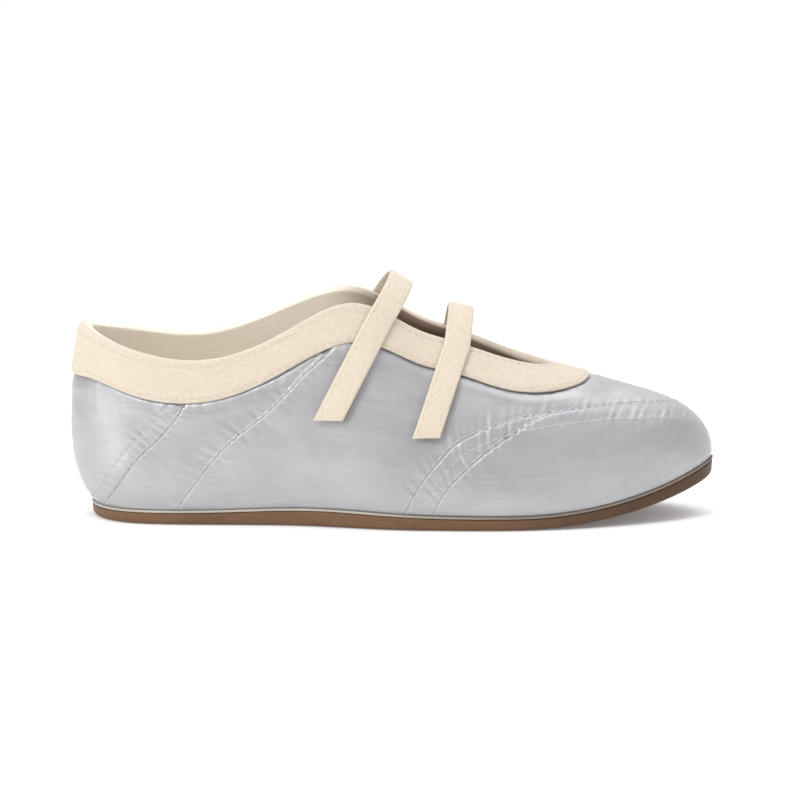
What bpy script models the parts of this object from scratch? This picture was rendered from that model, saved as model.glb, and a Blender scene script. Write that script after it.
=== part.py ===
"""A low satin shoe with a thin sole, a bound topline and two straps over the instep.

The frame: +X is the toe, -Y the outer (lateral) side, +Z up. The origin is on the ground
under the middle of the shoe.

The upper is one surface. Each station gives a point on the feather line, where the upper
meets the sole, a point on the topline, round the opening, and how the wall leaves both.
Every layer of the upper is a region of that surface at its own depth below the satin face,
so that neighbours keep an even gap. Seams are drawn in side view, as (x, z) curves.
"""

import math

import bpy
import numpy as np
from mathutils import Vector
from mathutils.bvhtree import BVHTree
from mathutils.interpolate import poly_3d_calc

MM = 0.001

# ---- driving dimensions, in millimetres ----

GAP = 0.3                  # clearance between touching pieces
SNAP = 0.05                # a cut keeps points nearer than this, so no sliver is left
GROUND_END = 46.0          # x where the sole starts to rise towards the toe
TOE_RISE = 0.00142         # toe spring: rise = TOE_RISE * (x - GROUND_END) ** TOE_POWER
GROUND_RISE = 0.00128      # the same for the underside, so the sole thickens towards the toe
TOE_POWER = 2.15
WAIST_X = -28.0            # the sole is thickest here, under the arch
WAIST_LENGTH = 34.0
WAIST_RISE = 1.6

# heights above the rising base of the sole
OUTSOLE_TOP = 4.3
MIDSOLE = (4.6, 5.3)
FEATHER = 5.6
FILLER = (5.6, 7.0)
SHANK = (5.8, 6.8)
INSOLE_BOARD = (7.3, 8.6)
FOAM_INSOLE = (8.9, 11.9)
SOCK_LINER = (12.2, 13.0)

# distances in plan from the feather line, positive outwards
OUTSOLE_OUTSETS = (-1.4, 0.3, 0.7)      # ground edge, top of the rounded edge, top
OUTSOLE_EDGE = 1.3                      # height of the rounded edge
MIDSOLE_OUTSET = 0.8
FILLER_OUTSET = -4.4
INSOLE_BOARD_OUTSET = -4.2
FOAM_INSOLE_OUTSET = -3.6
SOCK_LINER_OUTSET = -2.8
TOE_INSET_START = 80.0     # x where the inner layers start to draw in from the toe
TOE_INSET_LENGTH = 35.0
SHANK_SLOT = (-82.0, 8.0, 7.0)          # first x, last x, half width
SHANK_CLEARANCE = 0.5

# layers of the upper: depth of the inner and the outer face, positive outwards from the satin
SATIN = (-0.9, 0.0)
INTERLINING = (-2.3, -1.2)
LINING = (-3.3, -2.6)
BINDING_LIP = (0.3, 1.3)
BINDING_TURN_IN = (-4.5, -3.6)
BINDING_ROLL = 1.3         # how far the binding stands above the topline
LOOP_PATCH = (0.3, 0.7)
HOOK_PATCH = (1.0, 1.4)
STRAP = (1.7, 3.2)

# heel to toe, per station: feather x, its half width on the outer and the inner side;
# topline x, its half width, its height on the outer and the inner side;
# how far the wall leaves the feather line out and up, and the topline out and down; binding width
STATIONS = (
    (-116.4, 0.0, 0.0, -120.6, 0.0, 73.8, 73.8, 13.0, 15.0, 4.5, 25.0, 19.0),
    (-108.6, 19.1, 19.0, -113.0, 14.0, 70.3, 71.8, 8.0, 15.0, 4.0, 25.0, 16.0),
    (-89.5, 27.0, 26.5, -97.0, 23.0, 65.2, 69.0, 5.5, 15.0, 4.0, 24.0, 16.5),
    (-60.0, 28.5, 25.5, -72.0, 27.0, 62.8, 67.6, 6.0, 16.0, 4.0, 22.0, 15.1),
    (-32.0, 31.0, 25.0, -44.0, 26.5, 72.0, 77.0, 7.0, 16.0, 5.0, 26.0, 13.9),
    (-5.0, 38.0, 29.5, -16.0, 24.3, 84.4, 85.0, 7.0, 16.0, 8.0, 32.0, 14.4),
    (22.0, 41.0, 38.0, 7.0, 20.8, 75.2, 75.4, 6.0, 15.0, 12.0, 26.0, 13.8),
    (50.0, 40.5, 40.0, 24.0, 18.6, 69.0, 69.2, 5.0, 15.0, 18.0, 22.0, 14.2),
    (78.0, 34.5, 35.0, 41.0, 16.2, 62.8, 62.9, 4.0, 15.0, 24.0, 16.0, 17.6),
    (103.5, 23.5, 24.3, 54.5, 11.0, 59.0, 59.0, 3.0, 18.0, 30.0, 12.0, 17.6),
    (118.6, 11.8, 12.4, 60.2, 5.0, 58.0, 58.0, 1.5, 21.0, 34.0, 10.0, 16.4),
    (124.4, 0.0, 0.0, 61.8, 0.0, 57.6, 57.6, 1.8, 22.5, 37.0, 9.0, 15.4),
)
COLUMNS = 56               # round the shoe; the first is the heel centre
TOE_COLUMN = COLUMNS // 2
LAYER_STOP = 0.4           # satin and lining stop this far below the topline
WALL_ROWS = 6              # feather line to the binding's lower edge
BINDING_ROWS = 2           # from there to the topline
LAYER_TOP = WALL_ROWS + BINDING_ROWS        # row where satin and lining stop
TOPLINE = LAYER_TOP + 1                     # last row, a little higher

# seams in side view, bottom to top or back to front
HEEL_SEAM = ((-116, -2), (-108, 11), (-98, 25), (-88, 35), (-81, 44), (-76, 55), (-70, 75))
QUARTER_SEAM = ((-88, -2), (-76.5, 15), (-63.5, 31), (-46.5, 45), (-34, 58), (-22, 70), (-8, 92))
VAMP_SEAM = ((0, -4), (6.2, 9.3), (11.4, 18.6), (18.4, 27), (25, 33.4), (38, 39.2), (56, 43.5),
             (80, 45.4), (95, 45), (104, 44.4), (114, 43), (130, 40))
STRIP_SEAM = ((11, -4), (19, 13), (27, 22.3), (38.4, 31.6), (53.6, 40.8), (66, 45.5), (80, 52),
              (110, 70))
COUNTER_EDGE = ((-50, -4), (-58, 18), (-70, 34), (-88, 44), (-108, 48), (-135, 50))
PUFF_EDGE = ((66, -4), (78, 22), (86, 40), (92, 65))
HEEL_LINING_SEAM = ((-74, -4), (-74, 90))
VAMP_LINING_SEAM = ((2, -4), (-2, 40), (2, 100))

# straps: place of the tab's end, lean of the tab, length from its end to the hinge line,
# lean of the bridge above the hinge, and reach of the bridge's end handles
STRAPS = {
    "rear_strap": {"x": -24.0, "z": 41.5, "lean": 27.0, "reach": 42.3, "top_lean": 33.0,
                   "handle": 19.0, "patch": 25.0},
    "front_strap": {"x": 13.0, "z": 35.0, "lean": 19.5, "reach": 34.0, "top_lean": 9.0,
                    "handle": 22.5, "patch": 17.0},
}
STRAP_WIDTH = 10.0
PATCH_INSET = 1.0          # the patches stop this far inside the strap's edges
PATCH_START = 4.0          # distance of the patches from the tab's end
ANCHOR_LENGTH = 15.0
HINGE_GAP = 0.25
BRIDGE_STEPS = 18

SATIN_GREY = (0.52, 0.52, 0.55)
CREAM = (0.80, 0.72, 0.60)
PALE_LINING = (0.66, 0.57, 0.46)
SOLE_BROWN = (0.21, 0.12, 0.075)


# ---- the surface of the upper ----

def toe_spring(x, rise):
    """Height at x of a face that is level as far as GROUND_END and then curves up."""
    return rise * np.clip(x - GROUND_END, 0, None) ** TOE_POWER


def base_height(x):
    """Height of the sole's base at x: toe spring and the rise at the waist."""
    return toe_spring(x, TOE_RISE) + WAIST_RISE * np.exp(-((x - WAIST_X) / WAIST_LENGTH) ** 2)


def station_loop():
    """The stations as one closed loop: heel, outer side, toe, inner side."""
    loop = []
    for fx, outer, _inner, tx, half, outer_z, _inner_z, *wall in STATIONS:
        loop.append((fx, -outer, tx, -half, outer_z, *wall))
    for fx, _outer, inner, tx, half, _outer_z, inner_z, *wall in STATIONS[-2:0:-1]:
        loop.append((fx, inner, tx, half, inner_z, *wall))
    return np.array(loop)


def closed_spline(values, where):
    """A smooth closed curve through rows of values, and its slope, at station numbers."""
    count = len(values)
    unit = np.eye(count)
    system = 4 * unit + np.roll(unit, 1, 0) + np.roll(unit, -1, 0)
    slopes = np.linalg.solve(system, 3 * (np.roll(values, -1, 0) - np.roll(values, 1, 0)))
    start = np.floor(where).astype(int) % count
    end = (start + 1) % count
    t = (where - np.floor(where))[:, None]
    point = (values[start] * (2 * t**3 - 3 * t**2 + 1) + slopes[start] * (t**3 - 2 * t**2 + t)
             + values[end] * (3 * t**2 - 2 * t**3) + slopes[end] * (t**3 - t**2))
    slope = (values[start] * (6 * t**2 - 6 * t) + slopes[start] * (3 * t**2 - 4 * t + 1)
             + values[end] * (6 * t - 6 * t**2) + slopes[end] * (3 * t**2 - 2 * t))
    return point, slope


def outward(slope):
    """Plan normals pointing away from the shoe, from a loop's slope."""
    normal = np.stack([slope[:, 1], -slope[:, 0], 0 * slope[:, 0]], 1)
    return normal / np.linalg.norm(normal, axis=1)[:, None]


def feather_loop():
    """Feather line points and their plan normals, one per column."""
    loop = station_loop()
    where = np.arange(COLUMNS) * len(loop) / COLUMNS
    point, slope = closed_spline(loop, where)
    line = np.stack([point[:, 0], point[:, 1], base_height(point[:, 0]) + FEATHER], 1)
    return line, outward(slope[:, 0:2])


def wall_profiles(samples=100):
    """Each column's wall as a fine polyline from the feather line to the topline."""
    loop = station_loop()
    where = np.arange(COLUMNS) * len(loop) / COLUMNS
    point, slope = closed_spline(loop, where)
    feather, leave = feather_loop()
    top = point[:, 2:5]
    arrive = outward(slope[:, 2:4])
    up = np.array([0.0, 0.0, 1.0])
    low = feather + leave * point[:, 5:6] + up * point[:, 6:7]
    high = top + arrive * point[:, 7:8] - up * point[:, 8:9]
    t = np.linspace(0, 1, samples + 1)[None, :, None]
    curve = ((1 - t)**3 * feather[:, None] + 3 * (1 - t)**2 * t * low[:, None]
             + 3 * (1 - t) * t**2 * high[:, None] + t**3 * top[:, None])
    return curve, point[:, 9]


def upper_grid():
    """Points and outward normals of the satin face, by column and row."""
    profiles, binding_width = wall_profiles()
    points = np.empty((COLUMNS, TOPLINE + 1, 3))
    for column, profile in enumerate(profiles):
        run = np.concatenate([[0], np.cumsum(np.linalg.norm(np.diff(profile, axis=0), axis=1))])
        edge = run[-1] - binding_width[column]
        stops = [edge * row / WALL_ROWS for row in range(WALL_ROWS + 1)]
        stops += [edge + binding_width[column] * row / BINDING_ROWS
                  for row in range(1, BINDING_ROWS + 1)]
        stops[-1] -= LAYER_STOP
        stops.append(run[-1])
        for axis in range(3):
            points[column, :, axis] = np.interp(stops, run, profile[:, axis])
    along = np.roll(points, -1, 0) - np.roll(points, 1, 0)
    across = np.gradient(points, axis=1)
    normals = np.cross(along, across)
    normals[:, -1] = normals[:, -2]
    return points, normals / np.linalg.norm(normals, axis=2)[:, :, None]


POINTS, NORMALS = upper_grid()


# ---- sheets: regions of the upper's surface ----

def sheet(first_row, last_row, first_column=0, last_column=COLUMNS):
    """A region of the grid as points, normals and triangles."""
    index = {}
    points, normals, faces = [], [], []

    def vertex(column, row):
        key = (column % COLUMNS, row)
        if key not in index:
            index[key] = len(points)
            points.append(POINTS[key])
            normals.append(NORMALS[key])
        return index[key]

    for column in range(first_column, last_column):
        for row in range(first_row, last_row):
            a, b = vertex(column, row), vertex(column + 1, row)
            c, d = vertex(column + 1, row + 1), vertex(column, row + 1)
            faces += [(a, b, c), (a, c, d)]
    return points, normals, faces


WALL_SHEET = sheet(0, TOPLINE)
WALL = BVHTree.FromPolygons([Vector(point) for point in WALL_SHEET[0]], WALL_SHEET[2])


def smooth_line(points, steps=8):
    """A Catmull-Rom curve through side-view points, finely sampled."""
    points = np.array(points, float)
    padded = np.vstack([2 * points[0] - points[1], points, 2 * points[-1] - points[-2]])
    t = (np.arange(steps) / steps)[:, None]
    runs = []
    for p0, p1, p2, p3 in zip(padded, padded[1:], padded[2:], padded[3:]):
        runs.append(0.5 * (2 * p1 + (p2 - p0) * t + (2 * p0 - 5 * p1 + 4 * p2 - p3) * t**2
                           + (3 * p1 - p0 - 3 * p2 + p3) * t**3))
    return np.vstack([*runs, points[-1:]])


def left_of(line, keep=1, gap=GAP):
    """A cut that keeps what lies left (1) or right (-1) of a side-view curve."""
    line = smooth_line(line)
    start, step = line[:-1], np.diff(line, axis=0)

    def value(points):
        to_point = points[:, None, [0, 2]] - start[None]
        along = np.clip((to_point * step).sum(2) / (step**2).sum(1), 0, 1)
        away = to_point - along[:, :, None] * step
        distance = np.linalg.norm(away, axis=2)
        nearest = distance.argmin(1)
        rows = np.arange(len(points))
        offset = to_point[rows, nearest]
        direction = step[nearest]
        side = np.sign(direction[:, 0] * offset[:, 1] - direction[:, 1] * offset[:, 0])
        return keep * side * distance[rows, nearest] - gap / 2

    return value


def strap_directions(lean):
    """Side-view unit vectors up along a strap and across it, towards the toe."""
    angle = math.radians(lean)
    along = np.array([math.sin(angle), math.cos(angle)])
    across = np.array([math.cos(angle), -math.sin(angle)])
    return along, across


def level_cut(height):
    """A cut that keeps what lies above a height."""
    return lambda points: points[:, 2] - height


def strap_cuts(strap, low, high, half_width):
    """Cuts that keep a strip of a strap, between two distances from the tab's end."""
    along, across = strap_directions(strap["lean"])
    end = np.array([strap["x"], strap["z"]])

    def edge(direction, limit, keep):
        return lambda points: keep * (((points[:, [0, 2]] - end) @ direction) - limit)

    return [edge(along, low, 1), edge(along, high, -1),
            edge(across, -half_width, 1), edge(across, half_width, -1)]


def clip(points, normals, faces, cut):
    """Keep the part of a sheet where the cut's value is positive."""
    points, normals = list(points), list(normals)
    value = cut(np.array(points))
    value[abs(value) < SNAP] = SNAP
    crossings = {}

    def crossing(a, b):
        key = (min(a, b), max(a, b))
        if key not in crossings:
            t = value[key[0]] / (value[key[0]] - value[key[1]])
            crossings[key] = len(points)
            points.append(points[key[0]] * (1 - t) + points[key[1]] * t)
            normals.append(normals[key[0]] * (1 - t) + normals[key[1]] * t)
        return crossings[key]

    kept = []
    for face in faces:
        polygon = []
        for a, b in zip(face, face[1:] + face[:1]):
            if value[a] > 0:
                polygon.append(a)
            if (value[a] > 0) != (value[b] > 0):
                polygon.append(crossing(a, b))
        if len(polygon) > 2:
            kept.append(tuple(polygon))
    return points, normals, kept


def thicken(points, normals, faces, depths):
    """A sheet as a solid between two depths: its vertices and faces."""
    used = sorted({corner for face in faces for corner in face})
    place = {old: new for new, old in enumerate(used)}
    inner = [points[i] + normals[i] * depths[0] for i in used]
    outer = [points[i] + normals[i] * depths[1] for i in used]
    count = len(used)
    outside = [tuple(place[i] + count for i in face) for face in faces]
    inside = [tuple(place[i] for i in reversed(face)) for face in faces]
    edges = {(a, b) for face in outside for a, b in zip(face, face[1:] + face[:1])}
    rim = [(b, a, a - count, b - count) for a, b in edges if (b, a) not in edges]
    return inner + outer, outside + inside + sorted(rim)


# ---- Blender objects ----

def material(name, colour, roughness, metallic=0.0):
    """A plain Principled material."""
    made = bpy.data.materials.new(name)
    made.use_nodes = True
    shader = made.node_tree.nodes["Principled BSDF"]
    shader.inputs["Base Color"].default_value = (*colour, 1.0)
    shader.inputs["Roughness"].default_value = roughness
    shader.inputs["Metallic"].default_value = metallic
    made.diffuse_color = (*colour, 1.0)
    return made


def add_piece(name, vertices, faces, finish, pivot=None):
    """Make an object from millimetre points; a moving piece hangs from its pivot."""
    origin = np.array(pivot["place"] if pivot else (0, 0, 0))
    mesh = bpy.data.meshes.new(name)
    mesh.from_pydata([tuple((v - origin) * MM) for v in np.array(vertices)], [], faces)
    mesh.materials.append(material(name + "_finish", *finish))
    mesh.shade_smooth()
    mesh.set_sharp_from_angle(angle=math.radians(40))
    piece = bpy.data.objects.new(name, mesh)
    bpy.context.scene.collection.objects.link(piece)
    if pivot:
        piece.parent = pivot["empty"]
    return piece


def upper_piece(name, region, cuts, depths, finish, pivot=None):
    """One layer's region of the upper as its own solid."""
    points, normals, faces = region
    for cut in cuts:
        points, normals, faces = clip(points, normals, faces, cut)
    vertices, faces = thicken(points, normals, faces, depths)
    return add_piece(name, vertices, faces, finish, pivot)


def add_pivot(name, place, parent=None):
    """An empty on a hinge axis, and its place in millimetres."""
    empty = bpy.data.objects.new(name, None)
    empty.empty_display_size = 10 * MM
    bpy.context.scene.collection.objects.link(empty)
    offset = np.array(place) - (np.array(parent["place"]) if parent else 0)
    if parent:
        empty.parent = parent["empty"]
    empty.location = Vector(offset * MM)
    return {"empty": empty, "place": np.array(place)}


# ---- sole and bottom pieces ----

def outline(outset, height, toe_inset=0.0):
    """The feather line moved out in plan, at a height above the sole's base."""
    line, leave = feather_loop()
    ease = np.clip((line[:, 0] - TOE_INSET_START) / TOE_INSET_LENGTH, 0, 1)
    points = line + leave * (outset - toe_inset * ease)[:, None]
    points[:, 2] = base_height(points[:, 0]) + height
    return points


def ladder(loop, start, turned):
    """Faces across a closed outline, from its outer side to its inner side."""
    count = len(loop)
    faces = [(start, start + 1, start + count - 1)]
    for k in range(1, count // 2 - 1):
        faces.append((start + k, start + k + 1, start + count - k - 1, start + count - k))
    middle = count // 2
    faces.append((start + middle - 1, start + middle, start + middle + 1))
    return [tuple(reversed(face)) for face in faces] if turned else faces


def stacked(loops):
    """A solid through closed outlines, from the lowest to the highest."""
    count = len(loops[0])
    faces = ladder(loops[0], 0, turned=True)
    for level in range(len(loops) - 1):
        low, high = level * count, (level + 1) * count
        for k in range(count):
            after = (k + 1) % count
            faces.append((low + k, low + after, high + after, high + k))
    faces += ladder(loops[-1], (len(loops) - 1) * count, turned=False)
    return np.vstack(loops), faces


def make_outsole():
    """The brown sole: flat on the ground, with a rounded lower edge and toe spring."""
    heights = (0.0, OUTSOLE_EDGE, OUTSOLE_TOP)
    loops = [outline(outset, height) for outset, height in zip(OUTSOLE_OUTSETS, heights)]
    for loop, lift in zip(loops[:2], heights):
        loop[:, 2] = toe_spring(loop[:, 0], GROUND_RISE) + lift
    add_piece("outsole", *stacked(loops), (SOLE_BROWN, 0.6))


def make_midsole():
    """The thin cream layer that shows as a line above the outsole."""
    loops = [outline(MIDSOLE_OUTSET, height) for height in MIDSOLE]
    add_piece("midsole", *stacked(loops), (CREAM, 0.7))


def make_bottom_layers():
    """Insole board, foam insole and sock liner, lying inside the walls."""
    layers = (
        ("insole_board", INSOLE_BOARD, INSOLE_BOARD_OUTSET, (0.45, 0.36, 0.26), 0.8),
        ("foam_insole", FOAM_INSOLE, FOAM_INSOLE_OUTSET, (0.62, 0.58, 0.50), 0.95),
        ("sock_liner", SOCK_LINER, SOCK_LINER_OUTSET, (0.74, 0.66, 0.54), 0.8),
    )
    for name, heights, outset, colour, roughness in layers:
        loops = [outline(outset, height, toe_inset=1.8) for height in heights]
        add_piece(name, *stacked(loops), (colour, roughness))


def bar(first_x, last_x, half_width, heights, steps=9):
    """A straight-sided bar along the shoe, its faces rising with the sole's base."""
    xs = np.linspace(first_x, last_x, steps + 1)
    vertices = [(x, side * half_width, base_height(x) + height)
                for height in heights for side in (-1, 1) for x in xs]
    count = len(xs)
    faces = []
    for k in range(steps):
        rows = [(row * count + k, row * count + k + 1) for row in range(4)]
        for low, high in ((1, 0), (2, 3), (0, 2), (3, 1)):
            faces.append((*rows[low], *reversed(rows[high])))
    faces.append(tuple(count * row for row in (0, 2, 3, 1)))
    faces.append(tuple(count * row + steps for row in (0, 1, 3, 2)))
    return vertices, faces


def make_filler_and_shank():
    """The filler under the board, with a slot at the waist that holds the shank."""
    loops = [outline(FILLER_OUTSET, height, toe_inset=1.4) for height in FILLER]
    filler = add_piece("bottom_filler", *stacked(loops), ((0.55, 0.43, 0.30), 0.95))
    first, last, half_width = SHANK_SLOT
    through = (FILLER[0] - 1, FILLER[1] + 1)
    slot = add_piece("shank_slot_cutter", *bar(first, last, half_width, through), (CREAM, 1.0))
    slot.hide_render = True
    slot.display_type = "WIRE"
    cut = filler.modifiers.new("shank_slot", "BOOLEAN")
    cut.operation = "DIFFERENCE"
    cut.object = slot
    cut.solver = "EXACT"
    room = SHANK_CLEARANCE
    shank = bar(first + room, last - room, half_width - room, SHANK)
    add_piece("shank", *shank, ((0.35, 0.36, 0.38), 0.4, 0.9))


# ---- upper pieces ----

def make_satin():
    """The satin panels, cut along the seams."""
    finish = (SATIN_GREY, 0.45)
    whole = sheet(0, LAYER_TOP)
    lateral = sheet(0, LAYER_TOP, 0, TOE_COLUMN)
    medial = sheet(0, LAYER_TOP, TOE_COLUMN, COLUMNS)
    quarter = [left_of(HEEL_SEAM, -1), left_of(QUARTER_SEAM)]
    strip = [left_of(VAMP_SEAM, -1), left_of(STRIP_SEAM)]
    upper_piece("heel_panel", whole, [left_of(HEEL_SEAM)], SATIN, finish)
    upper_piece("quarter_panel_lateral", lateral, quarter, SATIN, finish)
    upper_piece("quarter_panel_medial", medial, quarter, SATIN, finish)
    vamp = [left_of(QUARTER_SEAM, -1), left_of(VAMP_SEAM)]
    upper_piece("vamp_panel", whole, vamp, SATIN, finish)
    upper_piece("forefoot_strip_lateral", lateral, strip, SATIN, finish)
    upper_piece("forefoot_strip_medial", medial, strip, SATIN, finish)
    toe = [left_of(VAMP_SEAM, -1), left_of(STRIP_SEAM, -1)]
    upper_piece("toe_panel", whole, toe, SATIN, finish)


def make_stiffeners():
    """Heel counter, toe puff and the foam between them, behind the satin."""
    whole = sheet(0, LAYER_TOP)
    board = ((0.60, 0.55, 0.45), 0.85)
    upper_piece("heel_counter", whole, [left_of(COUNTER_EDGE)], INTERLINING, board)
    upper_piece("toe_puff", whole, [left_of(PUFF_EDGE, -1)], INTERLINING, board)
    between = [left_of(COUNTER_EDGE, -1), left_of(PUFF_EDGE)]
    upper_piece("foam_interlining", whole, between, INTERLINING, ((0.75, 0.74, 0.70), 0.95))


def make_linings():
    """The cream lining: heel, two quarters and vamp."""
    finish = (PALE_LINING, 0.8)
    whole = sheet(0, LAYER_TOP)
    quarter = [left_of(HEEL_LINING_SEAM, -1), left_of(VAMP_LINING_SEAM)]
    upper_piece("heel_lining", whole, [left_of(HEEL_LINING_SEAM)], LINING, finish)
    upper_piece("quarter_lining_lateral", sheet(0, LAYER_TOP, 0, TOE_COLUMN), quarter, LINING,
                finish)
    upper_piece("quarter_lining_medial", sheet(0, LAYER_TOP, TOE_COLUMN, COLUMNS), quarter,
                LINING, finish)
    upper_piece("vamp_lining", whole, [left_of(VAMP_LINING_SEAM, -1)], LINING, finish)


def binding_section(column):
    """The binding's closed section at a column, as points round it."""
    p, n = POINTS[column], NORMALS[column]
    top, normal = p[TOPLINE], n[TOPLINE]
    rise = top - p[LAYER_TOP - 1]
    rise = rise / np.linalg.norm(rise) * BINDING_ROLL
    lip, turn = BINDING_LIP, BINDING_TURN_IN
    lip_rows = (WALL_ROWS, WALL_ROWS + 1, TOPLINE)
    turn_rows = (TOPLINE, WALL_ROWS + 1)
    section = [p[row] + n[row] * lip[1] for row in lip_rows]
    section += [top + normal * depth + rise * share
                for depth, share in ((0.7, 0.75), (-0.8, 1.0), (-2.4, 1.0), (-3.9, 0.75))]
    section += [p[row] + n[row] * turn[0] for row in turn_rows]
    section += [p[row] + n[row] * turn[1] for row in reversed(turn_rows)]
    section += [p[row] + n[row] * lip[0] for row in reversed(lip_rows)]
    return section


def make_binding():
    """The broad band folded over the topline all round the opening."""
    sections = [binding_section(column) for column in range(COLUMNS)]
    size = len(sections[0])
    downward = (7, 11, 12)      # section edges that run down the wall
    faces = []
    for column in range(COLUMNS):
        here, there = column * size, (column + 1) % COLUMNS * size
        for k in range(size):
            a, b, c, d = here + k, there + k, there + (k + 1) % size, here + (k + 1) % size
            faces += [(a, b, d), (b, c, d)] if k in downward else [(a, b, c), (a, c, d)]
    add_piece("topline_binding", np.vstack(sections), faces, (CREAM, 0.75))


# ---- straps ----

def wall_point(side, x, z, depth):
    """The wall's point at a depth, over the place at x, z on its satin face.

    The side is -1 for the outer wall and 1 for the inner one.
    """
    start = Vector((x, side * 100.0, z))
    hit, _normal, index, _distance = WALL.ray_cast(start, Vector((0.0, -side, 0.0)))
    corners = WALL_SHEET[2][index]
    shares = poly_3d_calc([Vector(WALL_SHEET[0][corner]) for corner in corners], hit)
    normal = sum(share * WALL_SHEET[1][corner] for share, corner in zip(shares, corners))
    return np.array(hit) + normal * depth


def strap_side_view(strap, along_distance, across_distance):
    """Side-view place on a strap, from its tab's end."""
    along, across = strap_directions(strap["lean"])
    return np.array([strap["x"], strap["z"]]) + along * along_distance + across * across_distance


def hinge_axis(strap, side):
    """A hinge's middle and direction, on the strap's outer face."""
    half = STRAP_WIDTH / 2
    back, front = (wall_point(side, *strap_side_view(strap, strap["reach"], across), STRAP[1])
                   for across in (-half, half))
    return (back + front) / 2, (back - front) / np.linalg.norm(back - front)


def bridge_rows(strap):
    """The bridge's inner edge lines, from the outer side over to the inner side."""
    top_lean = math.radians(strap["top_lean"])
    above = strap["reach"] + HINGE_GAP
    middle = []
    for side in (-1, 1):
        start = wall_point(side, *strap_side_view(strap, above, 0), STRAP[0])
        lower = wall_point(side, *strap_side_view(strap, above - 4, 0), STRAP[0])
        rise = (start - lower) / np.linalg.norm(start - lower)
        rise[0] = math.tan(top_lean) * rise[2]
        middle.append(start + rise * strap["handle"])
    lines = []
    for across in (-STRAP_WIDTH / 2, 0.0, STRAP_WIDTH / 2):
        ends = [wall_point(side, *strap_side_view(strap, above, across), STRAP[0])
                for side in (-1, 1)]
        shift = np.array([math.cos(top_lean), 0, -math.sin(top_lean)]) * across
        controls = (ends[0], middle[0] + shift, middle[1] + shift, ends[1])
        lines.append(bezier(controls, BRIDGE_STEPS))
    return np.stack(lines, 1)


def bezier(controls, steps):
    """Points along a cubic curve."""
    t = np.linspace(0, 1, steps + 1)[:, None]
    a, b, c, d = controls
    return (1 - t)**3 * a + 3 * (1 - t)**2 * t * b + 3 * (1 - t) * t**2 * c + t**3 * d


def ribbon_solid(rows, thickness):
    """A solid strip on rows of three points, thickened to its outer side."""
    along = np.gradient(rows, axis=0)
    across = (rows[:, 2] - rows[:, 0])[:, None]
    normals = np.cross(across, along)
    normals /= np.linalg.norm(normals, axis=2)[:, :, None]
    outer = rows + normals * thickness
    sections = [[*inside, *outside[::-1]] for inside, outside in zip(rows, outer)]
    size = 6
    faces = [tuple(range(size))]
    for k in range(len(rows) - 1):
        here, there = k * size, (k + 1) * size
        for j in range(size):
            after = (j + 1) % size
            faces.append((here + after, here + j, there + j, there + after))
    last = (len(rows) - 1) * size
    faces.append(tuple(last + j for j in reversed(range(size))))
    return np.array(sections).reshape(-1, 3), faces


def make_strap(name, strap):
    """One strap: sewn anchor, bridge, tab, and the hook and loop patches under the tab."""
    lift = add_pivot(name + "_lift_pivot", hinge_axis(strap, 1)[0])
    peel = add_pivot(name + "_tab_pivot", hinge_axis(strap, -1)[0], lift)
    lateral = sheet(0, TOPLINE, 0, TOE_COLUMN)
    medial = sheet(0, TOPLINE, TOE_COLUMN, COLUMNS)
    webbing = (CREAM, 0.75)
    half = STRAP_WIDTH / 2
    reach = strap["reach"]
    anchor = strap_cuts(strap, reach - ANCHOR_LENGTH, reach - HINGE_GAP, half)
    upper_piece(name + "_anchor", medial, anchor, STRAP, webbing)
    rows = bridge_rows(strap)
    add_piece(name + "_band", *ribbon_solid(rows, STRAP[1] - STRAP[0]), webbing, lift)
    tab = [*strap_cuts(strap, -STRAP_WIDTH, reach - HINGE_GAP, half), level_cut(strap["z"])]
    upper_piece(name + "_tab", lateral, tab, STRAP, webbing, peel)
    patch = strap_cuts(strap, PATCH_START, strap["patch"], half - PATCH_INSET)
    upper_piece(name + "_hook_patch", lateral, patch, HOOK_PATCH, ((0.75, 0.70, 0.62), 0.9), peel)
    upper_piece(name + "_loop_patch", lateral, patch, LOOP_PATCH, ((0.72, 0.68, 0.62), 0.95))


def clear_scene():
    """Remove what a new file holds."""
    for thing in list(bpy.data.objects):
        bpy.data.objects.remove(thing, do_unlink=True)


def main():
    clear_scene()
    make_outsole()
    make_midsole()
    make_filler_and_shank()
    make_bottom_layers()
    make_stiffeners()
    make_linings()
    make_satin()
    make_binding()
    for name, strap in STRAPS.items():
        make_strap(name, strap)
    bpy.context.view_layer.update()


main()
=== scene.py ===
"""The looks of a low satin shoe with a bound topline and two straps over the instep.

The frame: +X is the toe, -Y the outer side, +Z up, metres. Lengths below are millimetres
unless a comment says otherwise, and MM turns them into metres when a mesh is made.

The upper is the same surface as in the CAD: each station gives a point on the feather
line and on the topline and how the wall leaves both. Fabric pieces are fine grids on that
surface, raised and sunk along its normals for seams, stitched rows and puckers.
"""

import math

import bpy
import numpy as np
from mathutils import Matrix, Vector
from mathutils.bvhtree import BVHTree
from mathutils.interpolate import poly_3d_calc


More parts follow.
